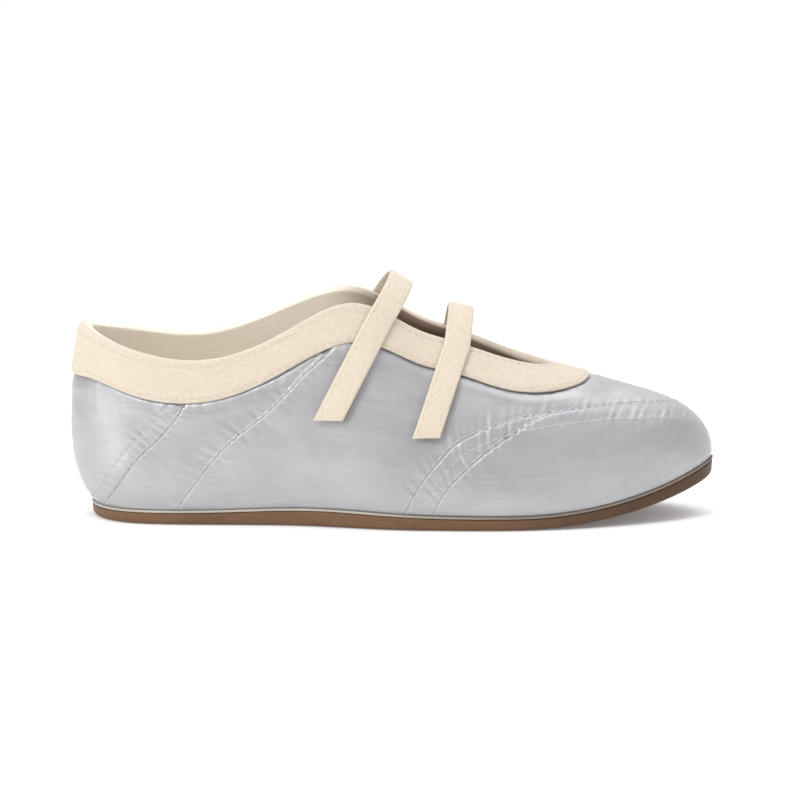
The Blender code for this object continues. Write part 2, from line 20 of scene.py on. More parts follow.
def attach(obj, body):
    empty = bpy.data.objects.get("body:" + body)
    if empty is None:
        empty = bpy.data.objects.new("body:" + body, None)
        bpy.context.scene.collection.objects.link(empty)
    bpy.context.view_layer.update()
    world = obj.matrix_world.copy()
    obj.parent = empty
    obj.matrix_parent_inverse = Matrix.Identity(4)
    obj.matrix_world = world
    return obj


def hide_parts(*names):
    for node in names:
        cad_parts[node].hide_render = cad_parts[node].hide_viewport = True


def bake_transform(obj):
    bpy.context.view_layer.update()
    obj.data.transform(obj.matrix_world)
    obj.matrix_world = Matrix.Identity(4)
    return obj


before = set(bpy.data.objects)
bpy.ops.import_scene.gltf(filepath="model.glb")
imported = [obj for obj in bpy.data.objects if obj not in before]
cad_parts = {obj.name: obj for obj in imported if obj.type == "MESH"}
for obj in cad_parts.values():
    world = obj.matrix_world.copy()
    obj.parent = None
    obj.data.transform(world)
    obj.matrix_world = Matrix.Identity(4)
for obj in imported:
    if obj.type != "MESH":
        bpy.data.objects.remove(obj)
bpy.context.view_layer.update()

MM = 0.001
SHOE = "shoe"

# ---- the shape, as in the CAD ----

GROUND_END = 46.0
TOE_RISE = 0.00142
GROUND_RISE = 0.00128
TOE_POWER = 2.15
WAIST_X = -28.0
WAIST_LENGTH = 34.0
WAIST_RISE = 1.6
FEATHER = 5.6
STATIONS = (
    (-116.4, 0.0, 0.0, -120.6, 0.0, 73.8, 73.8, 13.0, 15.0, 4.5, 25.0, 19.0),
    (-108.6, 19.1, 19.0, -113.0, 14.0, 70.3, 71.8, 8.0, 15.0, 4.0, 25.0, 16.0),
    (-89.5, 27.0, 26.5, -97.0, 23.0, 65.2, 69.0, 5.5, 15.0, 4.0, 24.0, 16.5),
    (-60.0, 28.5, 25.5, -72.0, 27.0, 62.8, 67.6, 6.0, 16.0, 4.0, 22.0, 15.1),
    (-32.0, 31.0, 25.0, -44.0, 26.5, 72.0, 77.0, 7.0, 16.0, 5.0, 26.0, 13.9),
    (-5.0, 38.0, 29.5, -16.0, 24.3, 84.4, 85.0, 7.0, 16.0, 8.0, 32.0, 14.4),
    (22.0, 41.0, 38.0, 7.0, 20.8, 75.2, 75.4, 6.0, 15.0, 12.0, 26.0, 13.8),
    (50.0, 40.5, 40.0, 24.0, 18.6, 69.0, 69.2, 5.0, 15.0, 18.0, 22.0, 14.2),
    (78.0, 34.5, 35.0, 41.0, 16.2, 62.8, 62.9, 4.0, 15.0, 24.0, 16.0, 17.6),
    (103.5, 23.5, 24.3, 54.5, 11.0, 59.0, 59.0, 3.0, 18.0, 30.0, 12.0, 17.6),
    (118.6, 11.8, 12.4, 60.2, 5.0, 58.0, 58.0, 1.5, 21.0, 34.0, 10.0, 16.4),
    (124.4, 0.0, 0.0, 61.8, 0.0, 57.6, 57.6, 1.8, 22.5, 37.0, 9.0, 15.4),
)
STRAP_DEPTHS = (1.7, 3.2)
STRAP_WIDTH = 10.0
ANCHOR_LENGTH = 15.0
STRAPS = {
    "rear_strap": {"x": -24.0, "z": 41.5, "lean": 27.0, "reach": 42.3, "top_lean": 33.0,
                   "handle": 19.0},
    "front_strap": {"x": 13.0, "z": 35.0, "lean": 19.5, "reach": 34.0, "top_lean": 9.0,
                    "handle": 22.5},
}
HEEL_SEAM = ((-116, -2), (-108, 11), (-98, 25), (-88, 35), (-81, 44), (-76, 55), (-70, 75))
QUARTER_SEAM = ((-88, -2), (-76.5, 15), (-63.5, 31), (-46.5, 45), (-34, 58), (-22, 70), (-8, 92))
VAMP_SEAM = ((0, -4), (6.2, 9.3), (11.4, 18.6), (18.4, 27), (25, 33.4), (38, 39.2), (56, 43.5),
             (80, 45.4), (95, 45), (104, 44.4), (114, 43), (130, 40))
STRIP_SEAM = ((11, -4), (19, 13), (27, 22.3), (38.4, 31.6), (53.6, 40.8), (66, 45.5), (80, 52),
              (110, 70))
HEEL_LINING_SEAM = ((-74, -4), (-74, 90))
VAMP_LINING_SEAM = ((2, -4), (-2, 40), (2, 100))

# ---- how fine the grids are ----

COLUMNS = 1012
WALL_ROWS = 104
TABLE_ROWS = 160
CURVE_STEPS = 240           # points along a column's curve before it is evened out
BATCH = 20000               # points measured at a time, to spare memory


# ---- curves and the wall ----

def toe_spring(x, rise):
    """Height at x of a face that is level as far as GROUND_END and then curves up."""
    return rise * np.clip(x - GROUND_END, 0, None) ** TOE_POWER


def base_height(x):
    """Height of the sole's base at x: toe spring and the rise at the waist."""
    return toe_spring(x, TOE_RISE) + WAIST_RISE * np.exp(-((x - WAIST_X) / WAIST_LENGTH) ** 2)


def station_loop():
    """The stations as one closed loop: heel, outer side, toe, inner side."""
    loop = []
    for fx, outer, _inner, tx, half, outer_z, _inner_z, *wall in STATIONS:
        loop.append((fx, -outer, tx, -half, outer_z, *wall))
    for fx, _outer, inner, tx, half, _outer_z, inner_z, *wall in STATIONS[-2:0:-1]:
        loop.append((fx, inner, tx, half, inner_z, *wall))
    return np.array(loop)


def closed_spline(values, where):
    """A smooth closed curve through rows of values, and its slope, at station numbers."""
    count = len(values)
    one = np.eye(count)
    system = 4 * one + np.roll(one, 1, 0) + np.roll(one, -1, 0)
    slopes = np.linalg.solve(system, 3 * (np.roll(values, -1, 0) - np.roll(values, 1, 0)))
    start = np.floor(where).astype(int) % count
    end = (start + 1) % count
    t = (where - np.floor(where))[:, None]
    point = (values[start] * (2 * t**3 - 3 * t**2 + 1) + slopes[start] * (t**3 - 2 * t**2 + t)
             + values[end] * (3 * t**2 - 2 * t**3) + slopes[end] * (t**3 - t**2))
    slope = (values[start] * (6 * t**2 - 6 * t) + slopes[start] * (3 * t**2 - 4 * t + 1)
             + values[end] * (6 * t - 6 * t**2) + slopes[end] * (3 * t**2 - 2 * t))
    return point, slope


def outward(slope):
    """Plan normals pointing away from the shoe, from a loop's slope."""
    normal = np.stack([slope[:, 1], -slope[:, 0], 0 * slope[:, 0]], 1)
    return normal / np.linalg.norm(normal, axis=1)[:, None]


def unit(vectors):
    """Vectors at length one."""
    return vectors / np.maximum(np.linalg.norm(vectors, axis=-1, keepdims=True), 1e-9)


class Wall:
    """The upper's surface as a table of points and normals by column and height share."""

    def __init__(self, columns):
        loop = station_loop()
        where = np.arange(columns) * len(loop) / columns
        point, slope = closed_spline(loop, where)
        self.columns = columns
        leave = outward(slope[:, 0:2])
        feather = np.stack([point[:, 0], point[:, 1], base_height(point[:, 0]) + FEATHER], 1)
        top = point[:, 2:5]
        arrive = outward(slope[:, 2:4])
        rise = np.array([0.0, 0.0, 1.0])
        low = feather + leave * point[:, 5:6] + rise * point[:, 6:7]
        high = top + arrive * point[:, 7:8] - rise * point[:, 8:9]
        curve = bezier([part[:, None] for part in (feather, low, high, top)], CURVE_STEPS)
        steps = np.linalg.norm(np.diff(curve, axis=1), axis=2)
        run = np.concatenate([np.zeros((columns, 1)), np.cumsum(steps, 1)], 1)
        self.length = run[:, -1]
        self.edge = self.length - point[:, 9]
        shares = np.linspace(0, 1, TABLE_ROWS + 1)
        self.points = np.empty((columns, TABLE_ROWS + 1, 3))
        for column in range(columns):
            self.points[column] = read_off(curve[column], run[column],
                                           shares * self.length[column])
        along = np.roll(self.points, -1, 0) - np.roll(self.points, 1, 0)
        self.up = unit(np.gradient(self.points, axis=1))
        self.normals = unit(np.cross(along, self.up))
        self.run_along = self.measure_along()

    def measure_along(self):
        """Distance round the shoe at mid height, one value per column and one more."""
        middle = self.points[:, TABLE_ROWS // 2]
        steps = np.linalg.norm(np.roll(middle, -1, 0) - middle, axis=1)
        return np.concatenate([[0], np.cumsum(steps)])

    def at(self, stops):
        """Points, normals and upward directions at distances up each column."""
        share = np.clip(stops / self.length[:, None], 0, 1) * TABLE_ROWS
        row = np.minimum(share.astype(int), TABLE_ROWS - 1)
        t = (share - row)[:, :, None]
        column = np.arange(self.columns)[:, None]
        found = [table[column, row] * (1 - t) + table[column, row + 1] * t
                 for table in (self.points, self.normals, self.up)]
        return found[0], unit(found[1]), unit(found[2])


def smooth_line(points, steps=8):
    """A Catmull-Rom curve through points, finely sampled."""
    points = np.array(points, float)
    padded = np.vstack([2 * points[0] - points[1], points, 2 * points[-1] - points[-2]])
    t = (np.arange(steps) / steps)[:, None]
    runs = []
    for p0, p1, p2, p3 in zip(padded, padded[1:], padded[2:], padded[3:]):
        runs.append(0.5 * (2 * p1 + (p2 - p0) * t + (2 * p0 - 5 * p1 + 4 * p2 - p3) * t**2
                           + (3 * p1 - p0 - 3 * p2 + p3) * t**3))
    return np.vstack([*runs, points[-1:]])


def bezier(controls, steps):
    """Points along a cubic curve."""
    t = np.linspace(0, 1, steps + 1)[:, None]
    a, b, c, d = controls
    return (1 - t)**3 * a + 3 * (1 - t)**2 * t * b + 3 * (1 - t) * t**2 * c + t**3 * d


def read_off(values, run, where):
    """Rows of values, each at its distance along a run, read off between them."""
    return np.stack([np.interp(where, run, column) for column in values.T], -1)


def smoothstep(low, high, value):
    """0 below low, 1 above high, smooth between."""
    t = np.clip((value - low) / (high - low), 0, 1)
    return t * t * (3 - 2 * t)


LEAST_SLOPE = 0.15          # keeps a seam's measures finite where the wall faces away
LOOK_AHEAD = 0.5            # a seam's heading is read over this distance


class Seam:
    """A seam drawn in side view: signed distance to it and distance along it."""

    def __init__(self, points):
        self.line = smooth_line(points)
        self.step = np.diff(self.line, axis=0)
        self.size = np.linalg.norm(self.step, axis=1)
        self.run = np.concatenate([[0], np.cumsum(self.size)])

    def measure(self, points, normals=None):
        """Distance to the left of the seam, corrected for the surface's slope, and along it."""
        flat = points.reshape(-1, 3)
        distance = np.empty(len(flat))
        along = np.empty(len(flat))
        away = np.empty((len(flat), 2))
        for first in range(0, len(flat), BATCH):
            part = slice(first, first + BATCH)
            to_point = flat[part][:, None, [0, 2]] - self.line[None, :-1]
            share = np.clip((to_point * self.step).sum(2) / self.size**2, 0, 1)
            gap = to_point - share[:, :, None] * self.step
            size = np.linalg.norm(gap, axis=2)
            nearest = size.argmin(1)
            rows = np.arange(len(nearest))
            offset = to_point[rows, nearest]
            step = self.step[nearest]
            side = np.sign(step[:, 0] * offset[:, 1] - step[:, 1] * offset[:, 0])
            distance[part] = side * size[rows, nearest]
            along[part] = self.run[nearest] + share[rows, nearest] * self.size[nearest]
            away[part] = np.stack([-step[:, 1], step[:, 0]], 1) / self.size[nearest][:, None]
        if normals is not None:
            tilt = (away * normals.reshape(-1, 3)[:, [0, 2]]).sum(1)
            distance = distance / np.sqrt(np.clip(1 - tilt**2, LEAST_SLOPE, 1))
        return distance.reshape(points.shape[:-1]), along.reshape(points.shape[:-1])

    def at(self, run, offset=0.0):
        """The side-view place at a distance along the seam, moved to its left."""
        place = read_off(self.line, self.run, run)
        heading = unit(read_off(self.line, self.run, run + LOOK_AHEAD) - place)
        return place + offset * np.stack([-heading[..., 1], heading[..., 0]], -1)


WALL = Wall(COLUMNS)
SEAMS = {"heel": Seam(HEEL_SEAM), "quarter": Seam(QUARTER_SEAM), "vamp": Seam(VAMP_SEAM),
         "strip": Seam(STRIP_SEAM)}


# ---- soft noise made of waves, the same each run ----

def ripple(run, lengths, seed):
    """A one-dimensional mix of waves of the given lengths, between about -1 and 1."""
    random = np.random.default_rng(seed)
    total = 0
    for length in lengths:
        total = total + np.cos(2 * np.pi * run / length + random.uniform(0, 2 * np.pi))
    return total / len(lengths)


def swell(points, length, seed, waves=9):
    """A three-dimensional mix of waves about one length, between about -1 and 1."""
    random = np.random.default_rng(seed)
    total = 0
    for _ in range(waves):
        direction = unit(random.normal(size=3))
        size = length * random.uniform(0.7, 1.4)
        phase = random.uniform(0, 2 * np.pi)
        total = total + np.cos(points @ direction * (2 * np.pi / size) + phase)
    return total / math.sqrt(waves)


# ---- meshes ----

def grid_faces(columns, rows, around):
    """Quads of a grid stored column by column; around joins the last column to the first."""
    last = columns if around else columns - 1
    column = np.arange(last)[:, None]
    row = np.arange(rows - 1)[None]
    after = (column + 1) % columns
    return np.stack([column * rows + row, after * rows + row,
                     after * rows + row + 1, column * rows + row + 1], -1).reshape(-1, 4)


def new_mesh(name, vertices, faces, cloth, material, lining_and_painted_shade=None):
    """An object from millimetre vertices, a list of face arrays and fabric coordinates.

    The last argument gives, per vertex, how much it takes of the lining's colour and of a painted
    shade, a darker colour that stands in for shadow.
    """
    mesh = bpy.data.meshes.new(name)
    corners = np.concatenate([part.ravel() for part in faces])
    counts = np.concatenate([np.full(len(part), part.shape[1]) for part in faces])
    starts = np.concatenate([[0], np.cumsum(counts)[:-1]])
    mesh.vertices.add(len(vertices))
    mesh.vertices.foreach_set("co", (vertices * MM).astype(np.float32).ravel())
    mesh.loops.add(len(corners))
    mesh.loops.foreach_set("vertex_index", corners.astype(np.int32))
    mesh.polygons.add(len(counts))
    mesh.polygons.foreach_set("loop_start", starts.astype(np.int32))
    mesh.update(calc_edges=True)
    mesh.validate()
    layers = {"cloth": cloth}
    if lining_and_painted_shade is not None:
        layers["lining_and_painted_shade"] = np.column_stack([lining_and_painted_shade, np.zeros(len(lining_and_painted_shade))])
    for layer_name, values in layers.items():
        layer = mesh.attributes.new(layer_name, "FLOAT_VECTOR", "POINT")
        layer.data.foreach_set("vector", values.astype(np.float32).ravel())
    mesh.shade_smooth()
    mesh.materials.append(material)
    piece = bpy.data.objects.new(name, mesh)
    bpy.context.scene.collection.objects.link(piece)
    return piece


def settle(piece, node=None):
    """Let a piece ride on the shoe, and stand for a CAD node."""
    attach(piece, SHOE)
    if node:
        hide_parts(node)


def rim_quads(quads, count):
    """Side faces between an outer sheet and its copy, count vertices later."""
    edges = np.concatenate([quads[:, [k, (k + 1) % 4]] for k in range(4)])
    keys = edges[:, 0].astype(np.int64) * count + edges[:, 1]
    back = edges[:, 1].astype(np.int64) * count + edges[:, 0]
    open_edges = edges[~np.isin(keys, back)]
    a, b = open_edges[:, 0], open_edges[:, 1]
    return np.stack([b, a, a + count, b + count], 1)


def thick_sheet(name, outer, inner, quads, cloth, material, lining_and_painted_shade=None):
    """A closed piece from an outer sheet and an inner one with the same faces."""
    used = np.unique(quads)
    place = np.full(len(outer), -1)
    place[used] = np.arange(len(used))
    quads = place[quads]
    count = len(used)
    vertices = np.concatenate([outer[used], inner[used]])
    faces = [quads, quads[:, ::-1] + count, rim_quads(quads, count)]
    if lining_and_painted_shade is not None:
        lining_and_painted_shade = np.tile(lining_and_painted_shade[used], (2, 1))
    return new_mesh(name, vertices, faces, np.tile(cloth[used], (2, 1)), material, lining_and_painted_shade)


# ---- materials ----

WAVE_SCALE = 2 * math.pi / 20       # makes a wave texture's bands one unit apart
LINING_TAN = (0.88, 0.80, 0.69)
# painted shade for the shadowed throat, darkening the lining and the binding's inner roll towards
# the toe
THROAT_PAINTED_SHADE = (0.15, 0.10, 0.07)
THROAT_START = (-30.0, 4.0)         # x over which the lining and the binding's inner roll darken into painted throat shade
TOE_PAINTED_SHADE = (0.055, 0.027, 0.013)   # painted shade that the sole and the rand take towards the toe
NOISE_MIDDLE = (0.3, 0.7)           # nearly all of a noise's values lie between these
MIX_COLOURS = (6, 7)                # a Mix node's inputs and its output for colours
MIX_RESULT = 2
POLISH_PITCH = 0.6                  # pitch of the roughness, as a share of the colour's
STREAK_SHARE = 0.35
SCUFF_SHARES = (-1.7, 0.6)          # below zero leaves most of a face unscuffed


def set_inputs(tree, node, values):
    """Set a node's inputs to values, or link sockets to them."""
    for key, value in values.items():
        if isinstance(value, bpy.types.NodeSocket):
            tree.links.new(value, node.inputs[key])
        else:
            node.inputs[key].default_value = value


def add_node(tree, kind, values, **settings):
    """A new shader node with its settings and inputs."""
    node = tree.nodes.new("ShaderNode" + kind)
    for key, value in settings.items():
        setattr(node, key, value)
    set_inputs(tree, node, values)
    return node


def scaled_coordinates(tree, source, pitches):
    """Texture coordinates with one unit per pitch, from the cloth attribute or the object."""
    if source == "cloth":
        socket = add_node(tree, "Attribute", {}, attribute_name="cloth").outputs["Vector"]
        size = 1.0
    else:
        socket = add_node(tree, "TexCoord", {}).outputs["Object"]
        size = 1.0 / MM
    scale = [size / pitch for pitch in pitches]
    return add_node(tree, "Mapping", {"Scale": scale, "Vector": socket}).outputs["Vector"]


def noise(tree, source, pitches, detail=3.0, rough=0.55):
    """A noise texture's value."""
    place = scaled_coordinates(tree, source, pitches)
    return add_node(tree, "TexNoise", {"Scale": 1.0, "Detail": detail, "Roughness": rough,
                                       "Vector": place}).outputs["Fac"]


def bands(tree, source, pitches, direction):
    """A wave texture's value: bands across X or Y, one per pitch."""
    place = scaled_coordinates(tree, source, pitches)
    return add_node(tree, "TexWave", {"Scale": WAVE_SCALE, "Distortion": 0.6, "Detail": 1.0,
                                      "Vector": place}, bands_direction=direction).outputs["Fac"]


def arithmetic(tree, operation, first, second):
    """A Math node on two sockets or numbers."""
    return add_node(tree, "Math", {0: first, 1: second}, operation=operation).outputs[0]


def spread(tree, value, low, high):
    """The middle part of a noise, stretched so that it runs from low to high."""
    return add_node(tree, "MapRange", {"From Min": NOISE_MIDDLE[0], "From Max": NOISE_MIDDLE[1],
                                       "To Min": low, "To Max": high,
                                       "Value": value}).outputs["Result"]


def blend_colours(tree, share, first, second):
    """A colour between two, each a socket or a tuple, by a share socket."""
    first, second = ((*colour, 1.0) if isinstance(colour, tuple) else colour
                     for colour in (first, second))
    values = {"Factor": share, MIX_COLOURS[0]: first, MIX_COLOURS[1]: second}
    return add_node(tree, "Mix", values, data_type="RGBA").outputs[MIX_RESULT]


def line_inside(tree, paint, painted_shade):
    """The lining's colour and a painted shade, as far as a mesh's per-vertex shares say."""
    lining_and_painted_shade = add_node(tree, "Attribute", {}, attribute_name="lining_and_painted_shade").outputs["Vector"]
    shares = add_node(tree, "SeparateXYZ", {"Vector": lining_and_painted_shade}).outputs
    paint = blend_colours(tree, shares["X"], paint, LINING_TAN)
    # the second share darkens the colour into painted shade
    return blend_colours(tree, shares["Y"], paint, painted_shade)


def add_bumps(tree, source, bumps):
    """Bump nodes on each other; the last one's normal."""
    normal = {}
    for kind, pitches, depth in bumps:
        if kind == "noise":
            height = noise(tree, source, pitches)
        else:
            height = bands(tree, source, pitches, kind)
        values = {"Strength": 1.0, "Distance": depth * MM, "Height": height, **normal}
        normal = {"Normal": add_node(tree, "Bump", values).outputs["Normal"]}
    return normal


def new_material(name, source, colour, second, patches, streaks, bumps, roughness,
                 sheen=0.0, metallic=0.0, specular=0.5, third=None, wear=None, painted_shade=None):
    """A Principled material from noises and bands.

    colour turns to second over patches, and a little of third along streaks. Each bump is
    (kind, pitches, depth in mm), kind being noise or the axis that bands cross. wear is
    (colour, pitches): scuffs, small and sparse. With the last argument, a painted shade, the
    colour turns to the lining's and to that shade as far as the mesh's per-vertex shares say.
    """
    made = bpy.data.materials.new(name)
    made.use_nodes = True
    tree = made.node_tree
    mottle = noise(tree, source, patches)
    paint = blend_colours(tree, spread(tree, mottle, 0.0, 1.0), colour, second)
    if streaks:
        line = noise(tree, source, streaks, detail=4.0)
        share = spread(tree, line, 0.0, STREAK_SHARE)
        paint = blend_colours(tree, share, paint, third or second)
    if wear:
        scuff = noise(tree, source, wear[1], detail=6.0, rough=0.7)
        share = spread(tree, scuff, *SCUFF_SHARES)
        paint = blend_colours(tree, arithmetic(tree, "MAXIMUM", share, 0.0), paint, wear[0])
    if painted_shade:
        paint = line_inside(tree, paint, painted_shade)
    polish = noise(tree, source, [pitch * POLISH_PITCH for pitch in patches])
    set_inputs(tree, tree.nodes["Principled BSDF"], {
        "Base Color": paint, "Roughness": spread(tree, polish, *roughness),
        "Metallic": metallic, "Specular IOR Level": specular, "Sheen Weight": sheen,
        "Sheen Roughness": 0.45, **add_bumps(tree, source, bumps)})
    return made


def make_materials():
    """Every finish, by name; pitches are in millimetres along, across and up."""
    return {
        "satin": new_material(
            "satin_cloth", "cloth", (0.425, 0.425, 0.435), (0.355, 0.355, 0.375), (26, 14, 20),
            (16, 0.55, 9), (("noise", (9, 0.35, 5), 0.035), ("Y", (0.9, 0.42, 1), 0.012),
                            ("noise", (0.5, 0.5, 0.5), 0.012)),
            (0.38, 0.48), sheen=0.15, specular=0.6, metallic=0.55, third=(0.57, 0.57, 0.58)),
        "binding": new_material(
            "binding_webbing", "cloth", (0.63, 0.545, 0.45), (0.57, 0.48, 0.38), (2.2, 1.6, 20),
            (14, 0.5, 9), (("Y", (1, 1.15, 1), 0.05), ("X", (0.55, 1, 1), 0.018),
                           ("noise", (1.3, 0.8, 0.6), 0.06)),
            (0.72, 0.85), sheen=0.2, specular=0.25, third=(0.76, 0.68, 0.58), painted_shade=THROAT_PAINTED_SHADE),
        "strap": new_material(
            "strap_webbing", "cloth", (0.665, 0.575, 0.47), (0.575, 0.48, 0.375), (1.5, 1.2, 20),
            (5, 0.5, 9), (("Y", (1, 0.95, 1), 0.05), ("X", (0.6, 1, 1), 0.025),
                          ("noise", (1.5, 0.8, 0.6), 0.09)),
            (0.72, 0.86), sheen=0.2, specular=0.25, third=(0.80, 0.72, 0.61)),
        "lining": new_material(
            "lining_cloth", "cloth", LINING_TAN, (0.82, 0.73, 0.61), (22, 15, 20),
            (12, 0.8, 9), (("X", (0.7, 1, 1), 0.03), ("Y", (1, 0.7, 1), 0.03),
                           ("noise", (1.2, 1.0, 1.0), 0.04)),
            (0.78, 0.9), sheen=0.15, specular=0.2, third=(0.92, 0.85, 0.74), painted_shade=THROAT_PAINTED_SHADE),
        "sock": new_material(
            "sock_liner_cloth", "cloth", (0.66, 0.58, 0.47), (0.58, 0.49, 0.385), (34, 26, 20),
            (14, 0.8, 9), (("X", (0.9, 1, 1), 0.05), ("Y", (1, 0.9, 1), 0.05),
                           ("noise", (2.5, 2.0, 2.0), 0.05)),
            (0.78, 0.92), sheen=0.15, specular=0.2, wear=((0.42, 0.34, 0.26), (30, 20, 20))),
        "rubber": new_material(
            "outsole_rubber", "cloth", (0.178, 0.096, 0.050), (0.142, 0.075, 0.038), (28, 10, 14),
            (30, 0.9, 6), (("noise", (0.45, 0.45, 0.45), 0.05), ("noise", (3, 1.2, 2), 0.05)),
            (0.45, 0.62), specular=0.25, third=(0.21, 0.12, 0.07),
            wear=((0.25, 0.16, 0.10), (3.5, 2.0, 3)), painted_shade=TOE_PAINTED_SHADE),
        "rand": new_material(
            "rand_board", "cloth", (0.50, 0.465, 0.41), (0.44, 0.40, 0.345), (12, 4, 5),
            (8, 0.5, 3), (("noise", (0.6, 0.4, 0.4), 0.04),), (0.6, 0.75), specular=0.3,
            painted_shade=TOE_PAINTED_SHADE),
        "thread_grey": new_material(
            "thread_grey_polyester", "cloth", (0.58, 0.58, 0.59), (0.52, 0.52, 0.53), (3, 3, 3),
            None, (("X", (0.5, 0.5, 1), 0.03),), (0.4, 0.5), sheen=0.1, metallic=0.3),
        "thread_cream": new_material(
            "thread_cream_polyester", "cloth", (0.68, 0.595, 0.50), (0.61, 0.52, 0.42), (3, 3, 3),
            None, (("X", (0.5, 0.5, 1), 0.03),), (0.4, 0.55), sheen=0.1),
        "foam": new_material(
            "open_foam", "object", (0.74, 0.72, 0.66), (0.66, 0.63, 0.56), (9, 9, 9), None,
            (("noise", (0.6, 0.6, 0.6), 0.12),), (0.85, 0.95), specular=0.1),
        "board": new_material(
            "stiffener_fibre", "object", (0.60, 0.54, 0.44), (0.52, 0.46, 0.36), (7, 7, 7),
            (3, 0.5, 3), (("noise", (0.5, 0.5, 0.5), 0.06),), (0.75, 0.9), specular=0.2),
        "insole_board": new_material(
            "insole_fibreboard", "object", (0.42, 0.33, 0.23), (0.35, 0.27, 0.18), (5, 5, 5),
            (4, 0.6, 3), (("noise", (0.6, 0.6, 0.6), 0.08),), (0.75, 0.9), specular=0.2),
        "cork": new_material(
            "ground_cork", "object", (0.44, 0.29, 0.165), (0.27, 0.165, 0.09), (1.6, 1.6, 1.6),
            None, (("noise", (0.9, 0.9, 0.9), 0.2),), (0.8, 0.95), specular=0.15),
        "steel": new_material(
            "shank_steel", "object", (0.50, 0.51, 0.53), (0.42, 0.43, 0.45), (14, 3, 3),
            (40, 0.25, 3), (("noise", (18, 0.2, 1), 0.01),), (0.28, 0.4), metallic=1.0),
        "hook_tape": new_material(
            "hook_tape", "object", (0.72, 0.67, 0.59), (0.60, 0.55, 0.47), (3, 3, 3), None,
            (("noise", (0.7, 0.7, 0.7), 0.35),), (0.5, 0.65), specular=0.35),
        "loop_tape": new_material(
            "loop_tape", "object", (0.68, 0.63, 0.56), (0.57, 0.52, 0.45), (2, 2, 2),
            (3, 0.3, 3), (("noise", (0.35, 0.35, 0.35), 0.3),), (0.88, 0.97), sheen=0.5,
            specular=0.1),
        "floor": new_material(
            "pale_backdrop", "object", (0.95, 0.95, 0.95), (0.94, 0.94, 0.94),
            (160, 160, 160), None, (("noise", (3, 3, 3), 0.02),), (0.7, 0.8), specular=0.2),
    }


FINISH = make_materials()
NODE_FINISH = {
    "bottom_filler": "cork", "shank": "steel", "insole_board": "insole_board",
    "foam_insole": "foam", "foam_interlining": "foam", "heel_counter": "board",
    "toe_puff": "board",
    "rear_strap_hook_patch": "hook_tape", "front_strap_hook_patch": "hook_tape",
    "rear_strap_loop_patch": "loop_tape", "front_strap_loop_patch": "loop_tape",
}


def finish_cad_nodes():
    """Give the CAD nodes that stay a procedural material."""
    for node, finish in NODE_FINISH.items():
        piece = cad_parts[node]
        piece.data.materials.clear()
        piece.data.materials.append(FINISH[finish])


# ---- the satin ----

SATIN_DEPTH = 0.9
SATIN_UNDER_BINDING = 3.0
SATIN_TUCK = 0.22          # how far the lowest edge drops to meet the sole
TREE_STEP = 2              # the stitches are placed on every second row and column
# seam: how far the piece in front stands proud, and over what distance it rises
FOLDS = {"heel": (0.5, 0.7), "quarter": (0.95, 1.3), "vamp": (0.34, 0.6), "strip": (0.46, 0.7)}
# seam, distance of the row to its left, valley depth, pucker height, reach, wave lengths, slant
STITCH_ROWS = (
    ("heel", 0.7, 0.12, 0.20, 2.4, (2.7, 3.6), 0.2),
    ("heel", 5.6, 0.14, 0.22, 2.2, (2.7, 3.6), 0.2),
    ("quarter", 0.9, 0.06, 0.20, 4.2, (3.3, 4.6), 0.2),
    ("vamp", 0.8, 0.12, 0.30, 3.8, (3.1, 4.1, 5.3), -0.3),
    ("vamp", -4.6, 0.10, 0.26, 3.0, (3.1, 4.4), -0.3),
    ("strip", 0.8, 0.12, 0.34, 3.6, (3.0, 4.0, 5.1), -0.3),
)
FOLD_FADE = 6.0
TROUGH = (0.25, 1.2)                # share of a fold's height sunk before it, and its width
ROW_DEPTHS = (0.75, 0.25)           # shares of a row's depth: steady, and by the dimple
DIMPLE_PITCH = 3.1
ROW_WIDTH = 0.75
TOE_CALM = (0.45, 40.0, 85.0)       # share the puckers lose, and the x range of the loss
BAND_PUFF = (0.32, 4.5, 2.6)        # height, distance below the binding, width
BAND_TUCK = (0.45, 1.6, -0.4)       # depth, and where below the binding it starts and ends
BAND_PUCKERS = (0.09, (3.4, 4.9, 7.3), 4.5)     # height, wave lengths, reach
LASTED_TOE = (55.0, 100.0)          # x over which the puckers above the sole grow
LASTED_HEIGHTS = (0.10, 0.16)       # everywhere, and added at the toe
LASTED_REACHES = (4.0, 3.0)         # the same, for how far up they reach
LASTED_LENGTHS = (4.3, 6.1, 8.9)
SWELLS = ((0.17, 24.0, 33), (0.045, 8.0, 34))   # height, wave length, seed
SOLE_EASE = (-0.5, 2.5)             # distance up the wall over which the relief starts


